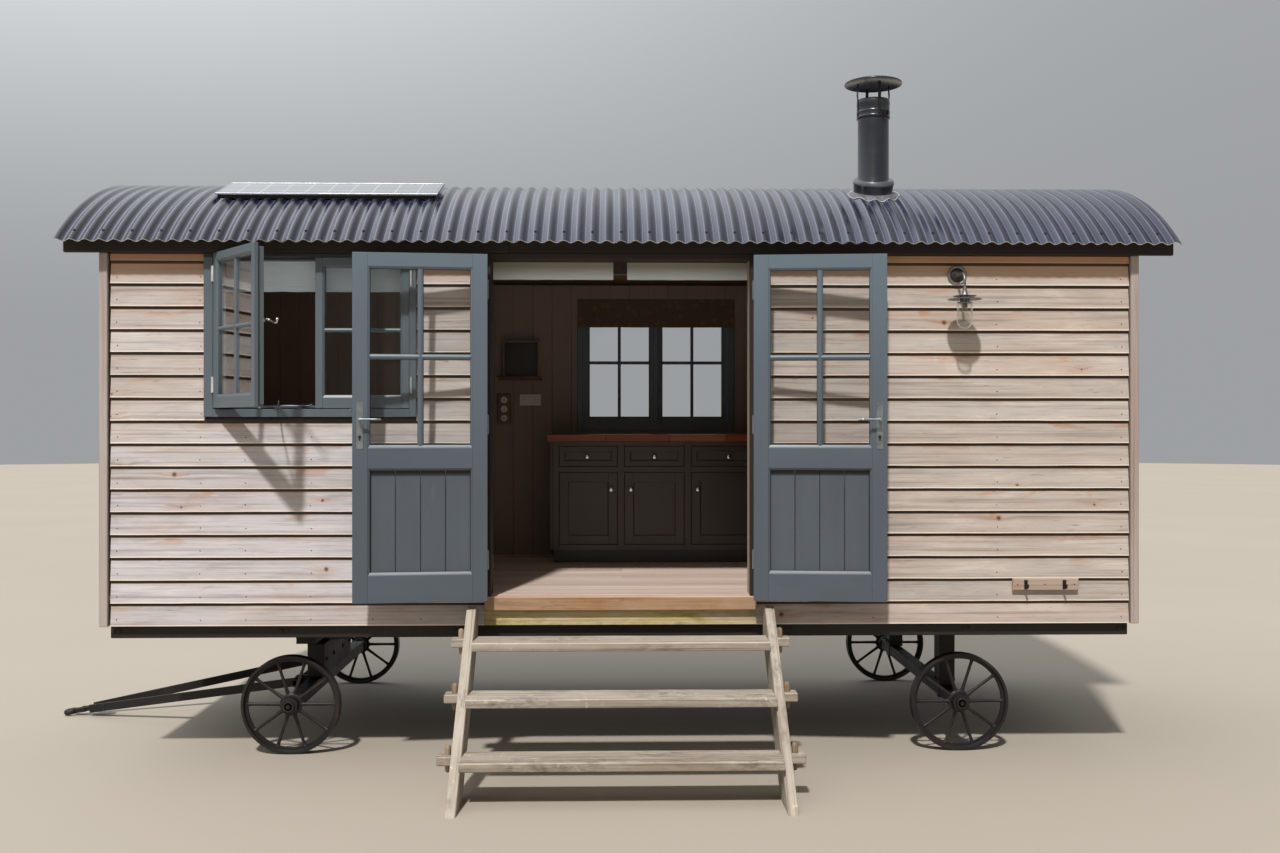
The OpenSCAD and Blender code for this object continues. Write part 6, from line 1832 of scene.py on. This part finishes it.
P = Piece(M["iron"], M["nail"])
P.M = TBAR
P.box((-BAR_L + 0.030, -0.0198, -0.0138), (-AX1 + 0.120, 0.0198, 0.0138), c=0.0015)
P.box((-BAR_L + 0.062, -0.027, -0.015), (-BAR_L + 0.100, 0.027, 0.015), c=0.0035)
ring = [(0.031 + 0.0108 * math.cos(2 * math.pi * i / 16), 0.0156 * math.sin(2 * math.pi * i / 16)) for i in range(16)]
P.lathe(ring, 40, M=place(-BAR_L, 0, 0), closed=True)
P.cyl((-BAR_L + 0.081, 0, 0.0148), (-BAR_L + 0.081, 0, 0.0190), 0.009, seg=6, c=0.001, mat=1)
P.make("draw_bar_ring", "draw_bar", ["draw_bar_eye"])

# ----------------------------------------------------------------- chassis
CROSS = [-2.730, -1.830, -0.900, 0.0, 0.900, 1.870, 2.730]
P = Piece(M["chassis"], M["nail"])
for y in (0.038, 2.152):
    P.box((-2.760, y, 0.6602), (2.760, y + 0.060, 0.7348), c=0.003)
    for x in CROSS:
        for dx in (-0.016, 0.016):
            yy, n = (y + 0.0002, -1) if y < 1 else (y + 0.0598, 1)
            hexhead(P, (x + dx, yy, 0.6975), (0, n, 0), 0.0085, 0.005, mat=1)
P.make("chassis_long_members", "hut", ["chassis_rails"])
P = Piece(M["chassis"], M["nail"])
for x in CROSS:
    P.box((x - 0.030, 0.0985, 0.6603), (x + 0.030, 2.1515, 0.7347), c=0.003, grain="y")
P.make("chassis_cross_members", "hut", ["chassis_crossbeams"])

# -------------------------------------------------------------------- flue
FX, FY = 1.450, 0.460
P = Piece(M["flue"])
P.lathe([(0.0800, 3.020), (0.0885, 3.020), (0.0885, 3.196), (0.0900, 3.199), (0.0900, 3.204), (0.0888, 3.207), (0.0888, 3.560), (0.0888, 3.682),
         (0.0878, 3.6838), (0.0775, 3.6838), (0.0765, 3.682), (0.0765, 3.240), (0.0, 3.236)][::1], 64, M=place(FX, FY, 0))
P.make("flue_tube", "hut", ["flue_pipe"], smooth=30)

P = Piece(M["flue"], M["iron"], M["nail"], M["soot"])
# clamp rings round the joint
P.lathe([(0.0896, 3.5800), (0.0945, 3.5800), (0.0958, 3.5815), (0.0960, 3.5880), (0.0944, 3.5905), (0.0940, 3.5960), (0.0940, 3.6080), (0.0960, 3.6110),
         (0.0960, 3.6170), (0.0942, 3.6200), (0.0936, 3.6260), (0.0936, 3.6600), (0.0950, 3.6640), (0.0954, 3.6700), (0.0940, 3.6740), (0.0934, 3.6860), (0.0922, 3.6876), (0.0896, 3.6876)],
        72, M=place(FX, FY, 0), closed=True)
for a in (10, 100, 190, 280):
    T = place(FX, FY, 0, rz=a)
    P.box((0.0938, -0.0090, 3.5860), (0.0962, 0.0090, 3.7000), c=0.0006, mat=1, M=T, grain="z")
    P.prism([(0.0938, 3.6990), (0.0962, 3.6990), (0.0990, 3.7160), (0.0960, 3.7480), (0.0962, 3.7800), (0.0938, 3.7800), (0.0938, 3.7480), (0.0966, 3.7160)], -0.0090, 0.0090, "y", mat=1, M=T)
    for z in (3.6000, 3.6480):
        P.cyl((0.0958, 0, z), (0.0990, 0, z), 0.0045, seg=14, c=0.001, mat=2, M=T)
P.box((0.0945, -0.016, 3.5835), (0.1180, -0.0125, 3.6150), c=0.0008, mat=1, M=place(FX, FY, 0, rz=-62))
P.box((0.0945, 0.0125, 3.5835), (0.1180, 0.016, 3.6150), c=0.0008, mat=1, M=place(FX, FY, 0, rz=-62))
P.cyl((0.108, -0.022, 3.599), (0.108, 0.022, 3.599), 0.0028, seg=10, mat=2, M=place(FX, FY, 0, rz=-62))
# shallow cone cap with a rolled edge
P.lathe([(0.0, 3.8160), (0.0600, 3.8080), (0.1300, 3.7930), (0.1580, 3.7818), (0.1620, 3.7790), (0.1642, 3.7784), (0.1650, 3.7800), (0.1650, 3.7842), (0.1638, 3.7868), (0.1600, 3.7895),
         (0.1350, 3.7975), (0.0800, 3.8120), (0.0300, 3.8240), (0.0120, 3.8290), (0.0, 3.8300)], 80, M=place(FX, FY, 0))
P.make("flue_cowl_made", "hut", ["flue_cowl"], smooth=30)

P = Piece(M["lead"], M["flue"], M["collar_ring"], M["lead_edge"])
slope = math.degrees(math.asin((YC - FY) / ROOF_R))
TC = place(FX, YC, ZC, rx=slope) @ place(0, 0.015, ROOF_R)
P.lathe([(0.0, -0.040), (0.1110, -0.040), (0.1115, 0.0100), (0.1150, 0.0520), (0.0, 0.0522)], 64, M=TC, mat=1)
P.lathe([(0.0, 0.0515), (0.1172, 0.0515), (0.1180, 0.0527), (0.1180, 0.0610), (0.1168, 0.0640), (0.1120, 0.0735), (0.1085, 0.0780), (0.0, 0.0785)], 64, M=TC, mat=2)
# dressed lead over the corrugations
th0 = math.asin((0.468 - YC) / ROOF_R)
npz, nph = 9, 128
V, W = [], []
edge = wob(77, 0.0045, 0.7)
o_ = rnd.uniform(-20, 20)
for layer in (0, 1):
    for i in range(npz):
        q = i / (npz - 1)
        for j in range(nph):
            f = 2 * math.pi * j / nph
            rho = 0.100 + q * (0.1445 + edge(f) + 0.0025 * math.cos(9 * f) + 0.020 * max(0.0, -math.sin(f)) - 0.100)
            x = FX + rho * math.cos(f)
            s_ = rho * math.sin(f)
            t = th0 + s_ / ROOF_R
            low = roof_at(x, 0.0014)
            k = max(0.0, min(1.0, (q - 0.15) / 0.6))
            r = (1 - k) * 1.8560 + k * low + (0.0022 if layer == 0 else 0.0)
            V.append((x, YC + r * math.sin(t), ZC + r * math.cos(t)))
            W.append((x + o_, r * t, 0.0))
F = []
B = npz * nph
for i in range(npz - 1):
    for j in range(nph):
        a, b = i * nph + j, i * nph + (j + 1) % nph
        c_, d_ = a + nph, b + nph
        F.append([a, c_, d_, b])
        F.append([B + a, B + b, B + d_, B + c_])
for j in range(nph):
    a, b = j, (j + 1) % nph
    F.append([a, b, B + b, B + a])
    a, b = (npz - 1) * nph + j, (npz - 1) * nph + (j + 1) % nph
    F.append([a, B + a, B + b, b])
P.add(V, F, wc=np.array(W))
rim = [V[(npz - 1) * nph + j % nph] for j in range(nph + 1)]
P.tube(rim, 0.0021, seg=8, mat=3)
P.make("flue_flashing_dressed", "hut", ["flue_flashing"], smooth=50)

# -------------------------------------------------------------- roof panel
pa = math.degrees(math.asin((YC - 0.450) / ROOF_R))
TP = place(-1.664, YC, ZC, rx=pa) @ place(0, 0, ROOF_R)
P = Piece(M["galv_light"], M["cells"], M["rubber"], M["nail"])
P.M = TP
L_, W_ = 0.620, 0.161
for a, b in (((-L_, -W_, 0.009), (L_, -W_ + 0.011, 0.0198)), ((-L_, W_ - 0.011, 0.009), (L_, W_, 0.0198))):
    P.box(a, b, c=0.0012)
for a, b in (((-L_, -W_ + 0.0112, 0.009), (-L_ + 0.011, W_ - 0.0112, 0.0198)), ((L_ - 0.011, -W_ + 0.0112, 0.009), (L_, W_ - 0.0112, 0.0198))):
    P.box(a, b, c=0.0012, grain="y")
x0, x1, y0, y1 = -L_ + 0.0112, L_ - 0.0112, -W_ + 0.0112, W_ - 0.0112
V = _box_points((x0, y0, 0.0112), (x1, y1, 0.0190), 0.0006)
P.add(V, BOX_FACES, mat=1, wc=np.array([(v[0] + 0.0, v[1] + 0.0733, 0.0) for v in V]), bid=0.5)
# a dark strip under the panel's front edge: painted shade in place of the shadow there
P.box((-L_ + 0.010, -W_ + 0.006, -0.0130), (L_ - 0.010, -W_ + 0.016, 0.0088), c=0.0008, mat=2)
for x in (-0.570, -0.190, 0.190, 0.570):
    for y in (-W_ + 0.020, W_ - 0.020):
        drop_ = (y * y) / (2 * ROOF_R)
        P.box((x - 0.015, y - 0.012, -drop_ - 0.0075), (x + 0.015, y + 0.012, 0.0092), c=0.001, mat=0, grain="z")
        P.cyl((x, y + (0.0125 if y > 0 else -0.0125), 0.001), (x, y + (0.0155 if y > 0 else -0.0155), 0.001), 0.0035, seg=6, c=0.0006, mat=3)
P.M = np.eye(4)
P.make("roof_panel_made", "hut", ["roof_panel"])

# the deck between sheet and ceiling stays as it is in the CAD
g = Graph("deck_sheathing", rough=0.8)
n1 = g.noise(g.map(g.obj(), (3, 60, 60)), 1, 4, 0.6)
g.color(g.mix(n1, lin(120, 92, 66), lin(150, 120, 90)))
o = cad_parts["roof_deck"]
o.data.materials.clear()
o.data.materials.append(g.mat)

# --------------------------------------------------------- stage and light
me = bpy.data.meshes.new("ground")
R = 60.0
me.from_pydata([(OX + R * math.cos(2 * math.pi * i / 64), OY + R * math.sin(2 * math.pi * i / 64), 0.0) for i in range(64)], [], [list(range(64))])
g = Graph("pale_ground", rough=0.9)
n1 = g.noise(g.map(g.obj(), (0.35, 0.35, 0.35)), 1, 3, 0.5)
g.color(g.mix(n1, lin(166, 158, 147), lin(174, 167, 156)))
me.materials.append(g.mat)
ground = bpy.data.objects.new("ground", me)
bpy.context.scene.collection.objects.link(ground)

world = bpy.data.worlds.new("studio")
bpy.context.scene.world = world
world.use_nodes = True
wt = world.node_tree
bg = wt.nodes["Background"]
co = wt.nodes.new("ShaderNodeTexCoord")
ax = wt.nodes.new("ShaderNodeSeparateXYZ")
wt.links.new(co.outputs["Generated"], ax.inputs[0])


def wmap(sock, a, b, c, d):
    n = wt.nodes.new("ShaderNodeMapRange")
    n.interpolation_type = "SMOOTHSTEP"
    wt.links.new(sock, n.inputs["Value"])
    for k, v in (("From Min", a), ("From Max", b), ("To Min", c), ("To Max", d)):
        n.inputs[k].default_value = v
    return n.outputs[0]


def wmul(a, b, op="MULTIPLY"):
    n = wt.nodes.new("ShaderNodeMath")
    n.operation = op
    for i, v in enumerate((a, b)):
        if hasattr(v, "links"):
            wt.links.new(v, n.inputs[i])
        else:
            n.inputs[i].default_value = v
    return n.outputs[0]


# a soft sky: bright overhead, to the left and behind, low on the right and in front
up = wmap(ax.outputs[2], 0.05, 0.85, 0.0, 1.0)
left = wmap(ax.outputs[0], -0.5, 0.5, 1.15, 0.12)
back = wmap(ax.outputs[1], -0.8, 0.7, 0.46, 1.0)
lum = wmul(wmul(wmul(up, left), back), 1.25)
lum = wmul(lum, wmul(back, 0.36), "ADD")
wt.links.new(lum, bg.inputs["Strength"])
tone = wt.nodes.new("ShaderNodeMix")
tone.data_type = "RGBA"
wt.links.new(wmap(ax.outputs[1], -0.7, 0.2, 0.0, 1.0), tone.inputs[0])
tone.inputs[6].default_value = (1.0, 0.88, 0.75, 1)
tone.inputs[7].default_value = (0.94, 0.975, 1.0, 1)
wt.links.new(tone.outputs[2], bg.inputs["Color"])

sun = bpy.data.lights.new("key", "SUN")
sun.energy = 3.3
sun.angle = rad(3.0)
sun.color = (1.0, 0.965, 0.92)
so = bpy.data.objects.new("key", sun)
bpy.context.scene.collection.objects.link(so)
from mathutils import Vector
so.rotation_euler = Vector((0.26, 1.0, -1.38)).to_track_quat("-Z", "Y").to_euler()
bpy.context.scene.view_settings.view_transform = "Standard"
